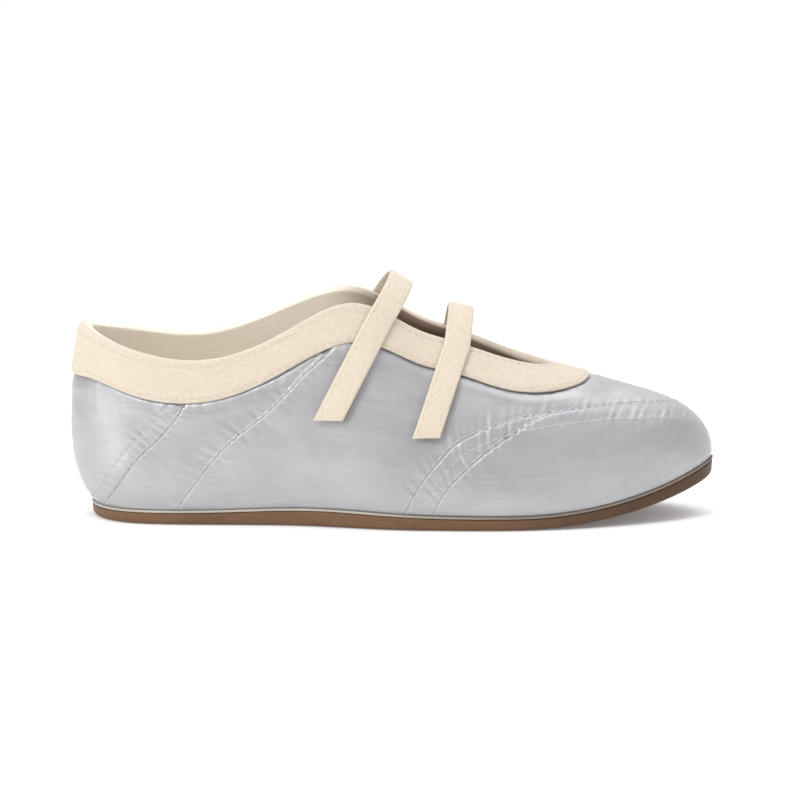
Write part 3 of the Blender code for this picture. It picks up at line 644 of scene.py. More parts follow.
def satin_relief(points, normals, stops, run):
    """How far the satin stands out from its smooth surface."""
    measured = {name: seam.measure(points, normals) for name, seam in SEAMS.items()}
    below_vamp = smoothstep(1.0, -3.0, measured["vamp"][0])
    height = np.zeros(points.shape[:2])
    for name, (fold, width) in FOLDS.items():
        away = measured[name][0]
        share = below_vamp if name == "strip" else 1.0
        proud = smoothstep(width, -width, away) * np.exp(-np.clip(-away, 0, None) / FOLD_FADE)
        sunk = np.exp(-((away - width) / TROUGH[1])**2)
        height += share * fold * (proud - TROUGH[0] * sunk)
    calm = 1.0 - TOE_CALM[0] * smoothstep(*TOE_CALM[1:], points[:, :, 0])
    for seed, (name, offset, valley, pucker, reach, lengths, slant) in enumerate(STITCH_ROWS):
        away, along = measured[name]
        share = below_vamp if name == "strip" else 1.0
        away = away - offset
        waves = ripple(along + slant * away, lengths, seed + 11)
        dimpled = ROW_DEPTHS[0] + ROW_DEPTHS[1] * np.cos(2 * np.pi * along / DIMPLE_PITCH)
        height -= share * valley * dimpled * np.exp(-(away / ROW_WIDTH)**2)
        height += share * calm * pucker * waves * np.exp(-(np.abs(away) / reach)**1.3)
    below = WALL.edge[:, None] - stops
    run = run[:, None]
    puff, low, width = BAND_PUFF
    height += puff * np.exp(-((below - low) / width)**2)
    height -= BAND_TUCK[0] * smoothstep(*BAND_TUCK[1:], below)
    pucker, lengths, reach = BAND_PUCKERS
    height += pucker * ripple(run, lengths, 31) * np.exp(-np.abs(below) / reach)
    toe = smoothstep(*LASTED_TOE, points[:, :, 0])
    lasted = (LASTED_HEIGHTS[0] + LASTED_HEIGHTS[1] * toe) * ripple(run, LASTED_LENGTHS, 32)
    height += lasted * np.exp(-stops / (LASTED_REACHES[0] + LASTED_REACHES[1] * toe))
    for size, length, seed in SWELLS:
        height += size * swell(points, length, seed)
    return height * smoothstep(*SOLE_EASE, stops)


SNAP_REACH = 1.5           # vertices within this of a seam are moved onto it
SNAP_MOST = 0.8
PROBE = 0.05               # the step that a seam's slope is measured with
STRIP_JOIN = 0.2           # the strip seam is taken this far over the vamp seam


def on_seams(points, normals, quads):
    """Move the vertices between two panels onto the seam, and label each quad's side."""
    flat = points.reshape(-1, 3)
    facing = normals.reshape(-1, 3)
    centres = flat[quads].mean(1)
    sides = {}
    for name, seam in SEAMS.items():
        away, _along = seam.measure(centres)
        sides[name] = away > 0
        touched = np.zeros((2, len(flat)), bool)
        for side in (0, 1):
            touched[side, quads[sides[name] == side].ravel()] = True
        border = np.flatnonzero(touched[0] & touched[1])
        if name == "strip":
            border = border[seams_below_vamp(flat[border])]
        away, _along = seam.measure(flat[border])
        nearer = np.abs(away) < SNAP_REACH
        border, away = border[nearer], away[nearer]
        ahead = flat[border]
        nudged, _along = seam.measure(ahead + np.array([PROBE, 0, 0]))
        lifted, _along = seam.measure(ahead + np.array([0, 0, PROBE]))
        slope = np.stack([nudged - away, 0 * away, lifted - away], 1) / PROBE
        normal = facing[border]
        slope -= (slope * normal).sum(1, keepdims=True) * normal
        size = np.maximum((slope**2).sum(1, keepdims=True), LEAST_SLOPE)
        flat[border] -= np.clip(away, -SNAP_MOST, SNAP_MOST)[:, None] * slope / size
    return flat.reshape(points.shape), sides


def seams_below_vamp(points):
    """Which points lie below the vamp seam, where the strip seam is a real one."""
    return SEAMS["vamp"].measure(points)[0] < STRIP_JOIN


def make_satin():
    """The satin panels, parted along the seams, and their face as a tree for the stitches."""
    rows = np.linspace(0, 1, WALL_ROWS + 1)[None]
    stops = rows * (WALL.edge[:, None] + SATIN_UNDER_BINDING)
    points, normals, _up = WALL.at(stops)
    points[:, 0, 2] -= SATIN_TUCK
    size = WALL_ROWS + 1
    quads = grid_faces(COLUMNS, size, around=True)
    points, sides = on_seams(points, normals, quads)
    height = satin_relief(points, normals, stops, WALL.run_along[:-1])
    outer = (points + normals * height[:, :, None]).reshape(-1, 3)
    inner = (points - normals * SATIN_DEPTH).reshape(-1, 3)
    run = np.repeat(WALL.run_along[:-1], size)
    cloth = np.stack([run, stops.ravel(), height.ravel()], 1)
    lateral = quads[:, 0] // size < COLUMNS // 2
    behind_quarter = ~sides["heel"] & sides["quarter"]
    below_vamp = ~sides["vamp"]
    panels = {
        "heel_panel": sides["heel"],
        "quarter_panel_lateral": behind_quarter & lateral,
        "quarter_panel_medial": behind_quarter & ~lateral,
        "vamp_panel": ~sides["quarter"] & sides["vamp"] & ~sides["heel"],
        "forefoot_strip_lateral": below_vamp & sides["strip"] & lateral & ~sides["quarter"],
        "forefoot_strip_medial": below_vamp & sides["strip"] & ~lateral & ~sides["quarter"],
        "toe_panel": below_vamp & ~sides["strip"],
    }
    for node, chosen in panels.items():
        piece = thick_sheet(node + "_satin", outer, inner, quads[chosen], cloth,
                            FINISH["satin"])
        settle(piece, node)
    coarse = outer.reshape(COLUMNS, size, 3)[::TREE_STEP, ::TREE_STEP]
    faces = grid_faces(*coarse.shape[:2], around=True)
    return BVHTree.FromPolygons(coarse.reshape(-1, 3).tolist(), faces.tolist())


# ---- stitches ----

STITCH_LENGTH = 2.5
STITCH_PITCH = 3.2
THREAD_RADIUS = 0.22
HEADING_REACH = 0.8        # a stitch's heading is read this far before and after it
CAST_STEP = 0.8
SEAM_ENDS = 3.0            # the part of a seam line without stitches at each end
ABOVE_SOLE = 2.5
BELOW_BINDING = 0.5
OFF_VAMP_SEAM = 2.0
LEAST_HITS = 5             # a shorter line of places gets no stitches
SEAM_THREAD_LIFT = 0.05
FAR = 100.0                # rays start this far out at the side


def capsule(sides=6):
    """A unit stitch: closed, round in section, its ends dipping in; along X, up Z."""
    stations = ((-0.42, 0.6, -0.45), (-0.25, 0.95, 0.0), (0.0, 1.0, 0.2), (0.25, 0.95, 0.0),
                (0.42, 0.6, -0.45))
    vertices = [(-0.5, 0.0, -1.0)]
    for along, width, lift in stations:
        for k in range(sides):
            angle = 2 * math.pi * k / sides
            vertices.append((along, width * math.cos(angle), width * math.sin(angle) + lift))
    vertices.append((0.5, 0.0, -1.0))
    quads = []
    for ring in range(len(stations) - 1):
        low = 1 + ring * sides
        for k in range(sides):
            after = (k + 1) % sides
            quads.append((low + k, low + after, low + sides + after, low + sides + k))
    last = 1 + (len(stations) - 1) * sides
    end = len(vertices) - 1
    triangles = [(0, 1 + (k + 1) % sides, 1 + k) for k in range(sides)]
    triangles += [(end, last + k, last + (k + 1) % sides) for k in range(sides)]
    return np.array(vertices), np.array(quads)[:, ::-1], np.array(triangles)[:, ::-1]


def stitch_mesh(name, places, headings, normals, finish, length=STITCH_LENGTH):
    """One object of stitches, each at a place with a heading and a normal."""
    shape, quads, triangles = capsule()
    headings = unit(headings - (headings * normals).sum(1, keepdims=True) * normals)
    sideways = np.cross(normals, headings)
    spots = (places[:, None] + headings[:, None] * shape[None, :, :1] * length
             + sideways[:, None] * shape[None, :, 1:2] * THREAD_RADIUS
             + normals[:, None] * shape[None, :, 2:] * THREAD_RADIUS)
    offsets = np.arange(len(places))[:, None, None] * len(shape)
    faces = [(quads[None] + offsets).reshape(-1, 4), (triangles[None] + offsets).reshape(-1, 3)]
    cloth = np.tile(shape * (length, 1, 1), (len(places), 1))
    return new_mesh(name, spots.reshape(-1, 3), faces, cloth, FINISH[finish])


def paced(line, normals, pitch, closed=False):
    """Places, headings and normals at an even pitch along a line of points."""
    if closed:
        line, normals = np.vstack([line, line[:1]]), np.vstack([normals, normals[:1]])
    run = np.concatenate([[0], np.cumsum(np.linalg.norm(np.diff(line, axis=0), axis=1))])
    count = max(int(run[-1] / pitch), 1)
    where = (np.arange(count) + 0.5) * run[-1] / count
    headings = (read_off(line, run, where + HEADING_REACH)
                - read_off(line, run, where - HEADING_REACH))
    return read_off(line, run, where), unit(headings), unit(read_off(normals, run, where))


def cast_on(tree, side, place):
    """The point and normal of a surface over a side-view place, or nothing."""
    start = Vector((place[0], side * FAR, place[1]))
    hit, normal, _index, _distance = tree.ray_cast(start, Vector((0.0, -side, 0.0)))
    if hit is None:
        return None
    normal = np.array(normal)
    return np.array(hit), normal * (1 if normal[1] * side > 0 else -1)


def seam_stitches(satin_tree):
    """Rows of stitches sunk in the seams of the satin."""
    for name, seam in SEAMS.items():
        offsets = [row[1] for row in STITCH_ROWS if row[0] == name]
        for side, label in ((-1, "lateral"), (1, "medial")):
            found = []
            for offset in offsets:
                line = [cast_on(satin_tree, side, seam.at(run, offset))
                        for run in np.arange(SEAM_ENDS, seam.run[-1] - SEAM_ENDS, CAST_STEP)]
                line = [hit for hit in line if hit and is_open(hit[0], name)]
                if len(line) >= LEAST_HITS:
                    spots, facing = (np.array([hit[k] for hit in line]) for k in (0, 1))
                    found.append(paced(spots, facing, STITCH_PITCH))
            if not found:
                continue
            places, headings, normals = (np.vstack([part[k] for part in found])
                                         for k in range(3))
            piece = stitch_mesh(f"{name}_seam_stitches_{label}", places + normals * SEAM_THREAD_LIFT,
                                headings, normals, "thread_grey")
            settle(piece)


def is_open(point, name):
    """Whether a point of a seam shows: above the sole, below the binding, on a real seam."""
    column = np.linalg.norm(WALL.points[:, ::8] - point, axis=2).min(1).argmin()
    row = np.linalg.norm(WALL.points[column] - point, axis=1).argmin()
    height = row / TABLE_ROWS * WALL.length[column]
    if not ABOVE_SOLE < height < WALL.edge[column] - BELOW_BINDING:
        return False
    return name != "strip" or SEAMS["vamp"].measure(point[None])[0][0] < -OFF_VAMP_SEAM


# ---- the binding ----

BINDING_OUTER = 1.25
BINDING_INNER = -4.4
BINDING_ROWS = 30
ROLL_ROWS = 11
ROLL_RISE = 1.2
ROLL_INSIDE = (0.42 * math.pi, 0.56 * math.pi)  # where the roll takes the lining's colour, and towards the throat the painted shade
EDGE_STITCH = 1.7
EDGE_STITCH_WIDTH = 0.6
EDGE_THREAD_SINK = 0.06
BINDING_PUFF = 0.10        # how far the band stands out between its stitched rows
BINDING_PULL = 0.15        # how far it is pulled in along them
BINDING_WAVES = (5.3, 8.1, 13.7)
BINDING_PUCKERS = (3.3, 4.4)        # wave lengths, along the rows only
BINDING_WAVE = 0.05        # height of both
OUTER, ROLL, INNER = range(3)


def binding_section():
    """The section round the folded band: (part, share of the width, depth) per point.

    The band goes up the outer side, rolls over the topline, comes down inside and goes
    back up beneath itself. On the roll the share is an angle.
    """
    lip = [(OUTER, 0.0, 0.25), (OUTER, 0.012, 0.7), (OUTER, 0.035, 1.05)]
    lip += [(OUTER, share, BINDING_OUTER) for share in np.linspace(0.07, 0.97, BINDING_ROWS)]
    roll = [(ROLL, angle, 0.0) for angle in np.linspace(0.0, math.pi, ROLL_ROWS)]
    turned = [(INNER, share, BINDING_INNER)
              for share in np.linspace(0.97, 0.2, BINDING_ROWS // 2)]
    turned += [(INNER, 0.16, BINDING_INNER + 0.3), (INNER, 0.15, -3.7)]
    back = [(INNER, share, -3.45) for share in (0.3, 0.6, 0.9)]
    back += [(OUTER, 0.965, -1.5), (OUTER, 0.9, 0.12), (OUTER, 0.5, 0.12), (OUTER, 0.1, 0.12)]
    return lip + roll + turned + back


def binding_relief(run, share, width):
    """Waviness of the band: pulled in at its stitches, slightly puffed between."""
    up = share * width
    rows = np.exp(-((up - EDGE_STITCH) / EDGE_STITCH_WIDTH)**2)
    rows = rows + np.exp(-((up - width + EDGE_STITCH) / EDGE_STITCH_WIDTH)**2)
    height = BINDING_PUFF * np.sin(np.pi * np.clip(share, 0, 1)) - BINDING_PULL * rows
    height = height + BINDING_WAVE * ripple(run, BINDING_WAVES, 41) * np.cos(np.pi * share)
    return height + BINDING_WAVE * ripple(run, BINDING_PUCKERS, 42) * rows


def binding_line(part, share, depth, run, top):
    """One point of the section carried round the shoe, and how far inside it lies."""
    if part == ROLL:
        place, normal, up = top
        middle = (BINDING_OUTER + BINDING_INNER) / 2
        out = middle + (BINDING_OUTER - middle) * math.cos(share)
        line = place + normal * out + up * ROLL_RISE * math.sin(share)
        return line, float(smoothstep(*ROLL_INSIDE, share))
    width = WALL.length - WALL.edge
    point, normal, _up = WALL.at((WALL.edge + width * share)[:, None])
    if depth == BINDING_OUTER:
        depth = depth + binding_relief(run, share, width)[:, None]
    return point[:, 0] + normal[:, 0] * depth, float(part == INNER)


def make_binding():
    """The broad ribbed band folded over the topline."""
    section = binding_section()
    run = WALL.run_along[:-1]
    top = [values[:, 0] for values in WALL.at(WALL.length[:, None] - 0.01)]
    # the binding's inside darkens towards the throat in painted shade
    throat = smoothstep(*THROAT_START, top[0][:, 0])
    lines, shades = [], []
    for part, share, depth in section:
        line, inside = binding_line(part, share, depth, run, top)
        lines.append(line)
        shades.append(np.stack([np.full(COLUMNS, inside), inside * throat], 1))
    around = np.stack(lines, 1)
    steps = np.linalg.norm(np.diff(around, axis=1), axis=2)
    across = np.concatenate([np.zeros((COLUMNS, 1)), np.cumsum(steps, 1)], 1)
    size = len(section)
    cloth = np.stack([np.repeat(run, size), across.ravel(), 0 * across.ravel()], 1)
    ring = np.arange(size)
    column = np.arange(COLUMNS)[:, None]
    after = (column + 1) % COLUMNS
    ahead = (ring + 1) % size
    quads = np.stack([column * size + ring, after * size + ring, after * size + ahead,
                      column * size + ahead], -1).reshape(-1, 4)
    piece = new_mesh("topline_binding_webbing", around.reshape(-1, 3), [quads], cloth,
                     FINISH["binding"], np.stack(shades, 1).reshape(-1, 2))
    settle(piece, "topline_binding")


def stitch_binding():
    """A row of stitches near each edge of the band."""
    for label, stops in (("lower", WALL.edge + EDGE_STITCH), ("upper", WALL.length - EDGE_STITCH)):
        point, normal, _up = WALL.at(stops[:, None])
        line = point[:, 0] + normal[:, 0] * (BINDING_OUTER - EDGE_THREAD_SINK)
        stitches = stitch_mesh("binding_stitches_" + label,
                               *paced(line, normal[:, 0], STITCH_PITCH, closed=True),
                               "thread_cream")
        settle(stitches)


# ---- the lining ----

LINING_DEPTHS = (-3.42, -2.6)
LINING_TOP = 0.6           # how far below the topline the lining ends
LINING_ROWS = 44
LINING_STEP = 2            # every second column is enough
LINING_SWELL = (0.12, 12.0)         # height and wave length
LINING_RIPPLE = (0.06, (6.1, 8.7))
LINING_CALM_FOOT = (0.0, 4.0)       # distance up the wall over which the wrinkles start
LINING_CALM_TOP = (-1.0, -6.0)      # the same, counted from the topline


def make_linings():
    """The four lining pieces, softly wrinkled, down to the insole."""
    rows = np.linspace(0, 1, LINING_ROWS + 1)[None]
    stops = rows * (WALL.length[:, None] - LINING_TOP)
    points, normals, _up = WALL.at(stops)
    stops, points, normals = (values[::LINING_STEP] for values in (stops, points, normals))
    run = WALL.run_along[:-1:LINING_STEP]
    count, size = points.shape[:2]
    tall, long = LINING_SWELL
    fine, lengths = LINING_RIPPLE
    wrinkle = tall * swell(points, long, 51) + fine * ripple(run[:, None], lengths, 52)
    above = stops - WALL.length[::LINING_STEP, None]
    wrinkle *= smoothstep(*LINING_CALM_FOOT, stops) * smoothstep(*LINING_CALM_TOP, above)
    inner = points + normals * (LINING_DEPTHS[0] + wrinkle)[:, :, None]
    outer = points + normals * LINING_DEPTHS[1]
    quads = grid_faces(count, size, around=True)
    centres = points.reshape(-1, 3)[quads].mean(1)
    heel = Seam(HEEL_LINING_SEAM).measure(centres)[0] > 0
    vamp = Seam(VAMP_LINING_SEAM).measure(centres)[0] < 0
    lateral = quads[:, 0] // size < count // 2
    cloth = np.stack([np.repeat(run, size), stops.ravel(), 0 * stops.ravel()], 1)
    # the lining darkens towards the throat in painted shade
    throat_shade = smoothstep(*THROAT_START, points[:, :, 0]).ravel()
    lining_and_painted_shade = np.stack([0 * throat_shade, throat_shade], 1)
    pieces = {"heel_lining": heel, "vamp_lining": vamp,
              "quarter_lining_lateral": ~heel & ~vamp & lateral,
              "quarter_lining_medial": ~heel & ~vamp & ~lateral}
    for node, chosen in pieces.items():
        piece = thick_sheet(node + "_cloth", outer.reshape(-1, 3), inner.reshape(-1, 3),
                            quads[chosen], cloth, FINISH["lining"], lining_and_painted_shade)
        settle(piece, node)


# ---- the sole and what lies on it ----

OUTLINE_COLUMNS = 352
ACROSS = 56
# rows of (outset, height): the sole's foot over the ground, its flank over its base, the
# midsole's edge and the sock liner's
SOLE_FOOT = ((-2.2, 0.0), (-1.4, 0.02), (-0.75, 0.16), (-0.2, 0.5), (0.15, 1.0), (0.3, 1.4))
SOLE_FLANK = ((0.42, 2.2), (0.52, 3.0), (0.55, 3.6), (0.5, 3.95), (0.3, 4.2), (-0.1, 4.3))
RAND = ((0.2, 4.45), (0.62, 4.5), (0.78, 4.75), (0.80, 5.05), (0.66, 5.28), (0.2, 5.35))
SOCK_LINER = ((-3.3, 12.15), (-3.0, 12.3), (-2.95, 12.75), (-3.2, 13.0))
TOE_INSET = 1.8            # how much further in the sock liner keeps at the toe
TOE_INSET_X = (80.0, 35.0)          # where that starts, and over what length
FLANK_LIFT = 0.4           # the least height of the flank's lowest rows over the foot
EDGE_WAVES = (11.3, 17.9, 29.0)     # in columns of the outline
EDGE_WAVE = 0.05
TREAD_DEPTH = 0.7
TREAD_PITCH = 6.5
TREAD_GROOVE = (0.55, 0.95)         # the part of a wave that is groove
TREAD_SWAY = (2.2, 22.0)            # how far the grooves swing in x, over how much y
TREAD_WAIST = 26.0         # half the length without grooves
TREAD_MARGIN = (-1.4, 5.0)          # outset of the tread's edge, and how it fades in
# x range over which a part darkens into the painted toe shade, and how far it does
SOLE_DARKER = (10.0, 105.0, 0.72)
RAND_DARKER = (-30.0, 60.0, 0.6)
EVEN = (0.0, 1.0, 0.0)
LINER_RIM = (-3.0, 14.0, 0.7)       # outset, how far in it has gone, height
LINER_HOLLOWS = ((-88.0, 26.0, 0.55), (38.0, 34.0, 0.4))    # middle x, half length, depth


def sole_loop():
    """Feather line points and plan normals for the sole, evenly by station number."""
    loop = station_loop()
    where = np.arange(OUTLINE_COLUMNS) * len(loop) / OUTLINE_COLUMNS
    point, slope = closed_spline(loop, where)
    return point[:, :2], outward(slope[:, 0:2])


def outline(outset, toe_inset=0.0):
    """The feather line in plan, moved out."""
    line, leave = SOLE_LINE
    start, length = TOE_INSET_X
    ease = np.clip((line[:, 0] - start) / length, 0, 1)
    return line + leave[:, :2] * (outset - toe_inset * ease)[:, None]


SOLE_LINE = sole_loop()


def plan_net(line, across):
    """Points across a closed outline, from each outer column to its inner partner."""
    half = len(line) // 2
    outer = line[1:half]
    inner = line[:half:-1]
    share = (1 - np.cos(np.linspace(0, np.pi, across + 1))) / 2
    share = 0.5 * share + 0.5 * np.linspace(0, 1, across + 1)
    return outer[:, None] * (1 - share[None, :, None]) + inner[:, None] * share[None, :, None]


def lidded(loops, bottom, top):
    """A closed solid: walls through loops of 3-D points, and a net under and over it.

    Each net is a function that turns plan points into heights.
    """
    count = len(loops[0])
    half = count // 2
    total = len(loops) * count
    order = np.arange(total).reshape(len(loops), count)
    vertices = [np.vstack(loops)]
    quads = [order.T.ravel()[grid_faces(count, len(loops), around=True)]]
    triangles = []
    for level, height, flip in ((0, bottom, True), (len(loops) - 1, top, False)):
        rim = order[level]
        net = plan_net(loops[level][:, :2], ACROSS)
        index = np.empty(net.shape[:2], int)
        index[:, 0] = rim[1:half]
        index[:, -1] = rim[:half:-1]
        inside = net[:, 1:-1].reshape(-1, 2)
        index[:, 1:-1] = total + np.arange(len(inside)).reshape(len(net), -1)
        rims = loops[level][:, 2]
        share = np.linspace(0, 1, ACROSS + 1)[None, 1:-1]
        level_z = (rims[1:half, None] * (1 - share) + rims[:half:-1, None] * share).ravel()
        vertices.append(np.column_stack([inside, level_z + height(inside)]))
        total += len(inside)
        part = np.stack([index[:-1, :-1], index[1:, :-1], index[1:, 1:], index[:-1, 1:]],
                        -1).reshape(-1, 4)
        heel = np.stack([np.full(ACROSS, rim[0]), index[0, :-1], index[0, 1:]], 1)
        toe = np.stack([np.full(ACROSS, rim[half]), index[-1, 1:], index[-1, :-1]], 1)
        caps = np.vstack([heel, toe])
        quads.append(part[:, ::-1] if flip else part)
        triangles.append(caps[:, ::-1] if flip else caps)
    return np.vstack(vertices), np.vstack(quads), np.vstack(triangles)


def inset_share(points, line, reach):
    """0 at the outline of a net's plan and 1 from reach inside it."""
    nearest = np.empty(len(points))
    for first in range(0, len(points), BATCH):
        part = slice(first, first + BATCH)
        gaps = points[part][:, None] - line[None]
        nearest[part] = np.linalg.norm(gaps, axis=2).min(1)
    return smoothstep(0.0, reach, nearest)


def tread(points):
    """Shallow wavy grooves across the sole's underside, clear of its edge and waist."""
    swing, span = TREAD_SWAY
    wave = points[:, 0] + swing * np.sin(points[:, 1] * 2 * np.pi / span)
    groove = smoothstep(*TREAD_GROOVE, np.cos(wave * 2 * np.pi / TREAD_PITCH))
    waist = 1 - np.exp(-((points[:, 0] - WAIST_X) / TREAD_WAIST)**4)
    outset, reach = TREAD_MARGIN
    return TREAD_DEPTH * groove * waist * inset_share(points, outline(outset), reach)


def add_solid(name, node, loops, bottom, top, finish, darker):
    """A solid between nets that rides on the shoe and stands for a CAD node."""
    vertices, quads, triangles = lidded(loops, bottom, top)
    # painted shade: the solid darkens towards the toe over its darker range
    first, last, most = darker
    dark = most * smoothstep(first, last, vertices[:, 0])
    piece = new_mesh(name, vertices, [quads, triangles], vertices, FINISH[finish],
                     np.stack([0 * dark, dark], 1))
    mark_sharp(piece)
    settle(piece, node)
    return piece


def mark_sharp(piece, angle=50):
    """Crease the shading where faces meet at more than an angle."""
    piece.data.set_sharp_from_angle(angle=math.radians(angle))


def level_loop(outset, height, toe_inset=0.0, grounded=False):
    """The outline at a height over the ground's curve or over the sole's base."""
    line = outline(outset, toe_inset)
    base = toe_spring(line[:, 0], GROUND_RISE) if grounded else base_height(line[:, 0])
    return np.column_stack([line, base + height])


def level(points):
    """A net that runs straight across from rim to rim."""
    return 0 * points[:, 0]


def make_sole():
    """Outsole with a rounded foot and a grooved underside, and the pale line above it."""
    foot = [level_loop(*row, grounded=True) for row in SOLE_FOOT]
    flank = [level_loop(*row) for row in SOLE_FLANK]
    for loop in flank[:2]:
        loop[:, 2] = np.maximum(loop[:, 2], foot[-1][:, 2] + FLANK_LIFT)
    wave = EDGE_WAVE * ripple(np.arange(OUTLINE_COLUMNS), EDGE_WAVES, 61)
    for loop in foot[3:] + flank[:3]:
        loop[:, :2] += wave[:, None]
    # the outsole and the rand darken towards the toe in painted shade
    add_solid("outsole_rubber", "outsole", foot + flank, tread, level, "rubber",
              SOLE_DARKER)
    loops = [level_loop(*row) for row in RAND]
    add_solid("midsole_rand", "midsole", loops, level, level, "rand",
              RAND_DARKER)


def cupped(points):
    """The sock liner's top: its rim raised, with hollows under the heel and the ball."""
    outset, reach, height = LINER_RIM
    inside = inset_share(points, outline(outset, TOE_INSET), reach)
    rim = 1 - inside
    relief = height * rim * rim
    for x, length, depth in LINER_HOLLOWS:
        relief = relief - depth * np.exp(-((points[:, 0] - x) / length)**2) * inside
    return relief


def make_sock_liner():
    """The sock liner."""
    loops = [level_loop(*row, TOE_INSET) for row in SOCK_LINER]
    liner = add_solid("sock_liner_cloth", "sock_liner", loops, level, cupped, "sock",
                      EVEN)


# ---- straps ----

STRAP_STEP = 0.7
STRAP_ACROSS = 21
STRAP_EDGE = 1.6           # from a strap's edge to its stitched channel
CHANNEL = (0.16, 0.22, 0.45)        # depth along the edges and across the end, and width
STRAP_ROUNDING = (0.30, 0.22)       # shares of the thickness that the two faces' rims lose
STRAP_RIB = 0.05
STRAP_WAVES = (6.5, 9.7, 15.1)
END_EASE = (-0.2, 0.5)     # distance from the end over which it thins, and how far
END_SHARE = 0.72
END_PITCH = 2.4            # the end's own stitches are shorter and closer
END_STITCH = 2.0
STRAP_SINK = 0.02
RISE_STEP = 4              # the strap's rise at its hinge is read over this distance
BRIDGE_LENGTH = 36.0       # half the bridge has about this many millimetres of rows
WALL_TREE_STEP = 4
STRAP_OFFSETS = np.linspace(-STRAP_WIDTH / 2, STRAP_WIDTH / 2, STRAP_ACROSS)


def wall_tree():
    """The smooth satin face as a tree, with its corners' normals, for placing straps."""
    points, normals = (table[::WALL_TREE_STEP, ::WALL_TREE_STEP]
                       for table in (WALL.points, WALL.normals))
    faces = grid_faces(*points.shape[:2], around=True)
    flat = points.reshape(-1, 3)
    return BVHTree.FromPolygons(flat.tolist(), faces.tolist()), flat, normals.reshape(-1, 3), faces


WALL_TREE = wall_tree()


def wall_point(side, place, depth):
    """The wall's point at a depth over a side-view place, on the outer (-1) or inner side."""
    tree, corners, normals, faces = WALL_TREE
    start = Vector((place[0], side * FAR, place[1]))
    hit, _normal, index, _distance = tree.ray_cast(start, Vector((0.0, -side, 0.0)))
    face = faces[index]
    shares = poly_3d_calc([Vector(corners[corner]) for corner in face], hit)
    normal = sum(share * normals[corner] for share, corner in zip(shares, face))
    return np.array(hit) + normal / np.linalg.norm(normal) * depth


def strap_place(strap, up, across):
    """Side-view place on a strap: distance up from its tab's end, and across to the toe."""
    lean = math.radians(strap["lean"])
    along = np.array([math.sin(lean), math.cos(lean)])
    sideways = np.array([math.cos(lean), -math.sin(lean)])
    return np.array([strap["x"], strap["z"]]) + along * up + sideways * across


def wall_rows(strap, side, low, high, level_end):
    """Rows of points on the wall under a strap, from low to high up its length."""
    lean = math.radians(strap["lean"])
    rows = []
    for up in np.arange(low, high - 0.3 * STRAP_STEP, STRAP_STEP):
        share = (high - up) / (high - low)
        row = []
        for offset in STRAP_OFFSETS:
            slip = offset * math.tan(lean) * share**2 if level_end else 0.0
            row.append(wall_point(side, strap_place(strap, up + slip, offset), STRAP_DEPTHS[0]))
        rows.append(row)
    return np.array(rows)


def bridge_rows(strap):
    """The bridge's rows from the outer hinge line over to the inner one."""
    top_lean = math.radians(strap["top_lean"])
    reach = strap["reach"]
    middle = []
    for side in (-1, 1):
        start = wall_point(side, strap_place(strap, reach, 0), STRAP_DEPTHS[0])
        lower = wall_point(side, strap_place(strap, reach - RISE_STEP, 0), STRAP_DEPTHS[0])
        rise = (start - lower) / np.linalg.norm(start - lower)
        rise[0] = math.tan(top_lean) * rise[2]
        middle.append(start + rise * strap["handle"])
    lines = []
    steps = 2 * int(BRIDGE_LENGTH / STRAP_STEP)
    for across in STRAP_OFFSETS:
        ends = [wall_point(side, strap_place(strap, reach, across), STRAP_DEPTHS[0])
                for side in (-1, 1)]
        shift = np.array([math.cos(top_lean), 0, -math.sin(top_lean)]) * across
        lines.append(bezier((ends[0], middle[0] + shift, middle[1] + shift, ends[1]), steps))
    return np.stack(lines, 1)


def strap_section():
    """Height of the strap's outer and inner face over its width: worn, rounded edges."""
    thick = STRAP_DEPTHS[1] - STRAP_DEPTHS[0]
    from_middle = np.abs(STRAP_OFFSETS)
    rim = (from_middle / (STRAP_WIDTH / 2))**10
    depth, _end_depth, width = CHANNEL
    channel = depth * np.exp(-((from_middle - STRAP_WIDTH / 2 + STRAP_EDGE) / width)**2)
    crown = STRAP_RIB * np.cos(STRAP_OFFSETS * np.pi / (STRAP_WIDTH / 2))
    outer = thick * (1 - STRAP_ROUNDING[0] * rim) - channel + crown
    return outer, thick * STRAP_ROUNDING[1] * rim


def ribbon(name, rows, end):
    """A closed webbing strip over rows of points, thinned and grooved at its sewn end."""
    normals = unit(np.cross(np.gradient(rows, axis=1), np.gradient(rows, axis=0)))
    steps = np.linalg.norm(np.diff(rows.mean(1), axis=0), axis=1)
    run = np.concatenate([[0], np.cumsum(steps)])
    from_end = run if end == "start" else run[-1] - run
    outer_height, inner_height = strap_section()
    _depth, end_depth, width = CHANNEL
    groove = end_depth * np.exp(-((from_end - STRAP_EDGE) / width)**2)
    wave = STRAP_RIB * ripple(run, STRAP_WAVES, 71)
    thinned = END_SHARE + (1 - END_SHARE) * smoothstep(*END_EASE, from_end)
    outer_height = (outer_height + (wave - groove)[:, None]) * thinned[:, None]
    outer = rows + normals * outer_height[:, :, None]
    inner = rows + normals * inner_height[:, None]
    cloth = np.stack([np.repeat(run, STRAP_ACROSS), np.tile(STRAP_OFFSETS, len(rows)),
                      np.zeros(len(rows) * STRAP_ACROSS)], 1)
    quads = grid_faces(len(rows), STRAP_ACROSS, around=False)[:, ::-1]
    piece = thick_sheet(name, outer.reshape(-1, 3), inner.reshape(-1, 3), quads, cloth,
                        FINISH["strap"])
    mark_sharp(piece, 60)
    return piece, outer, normals


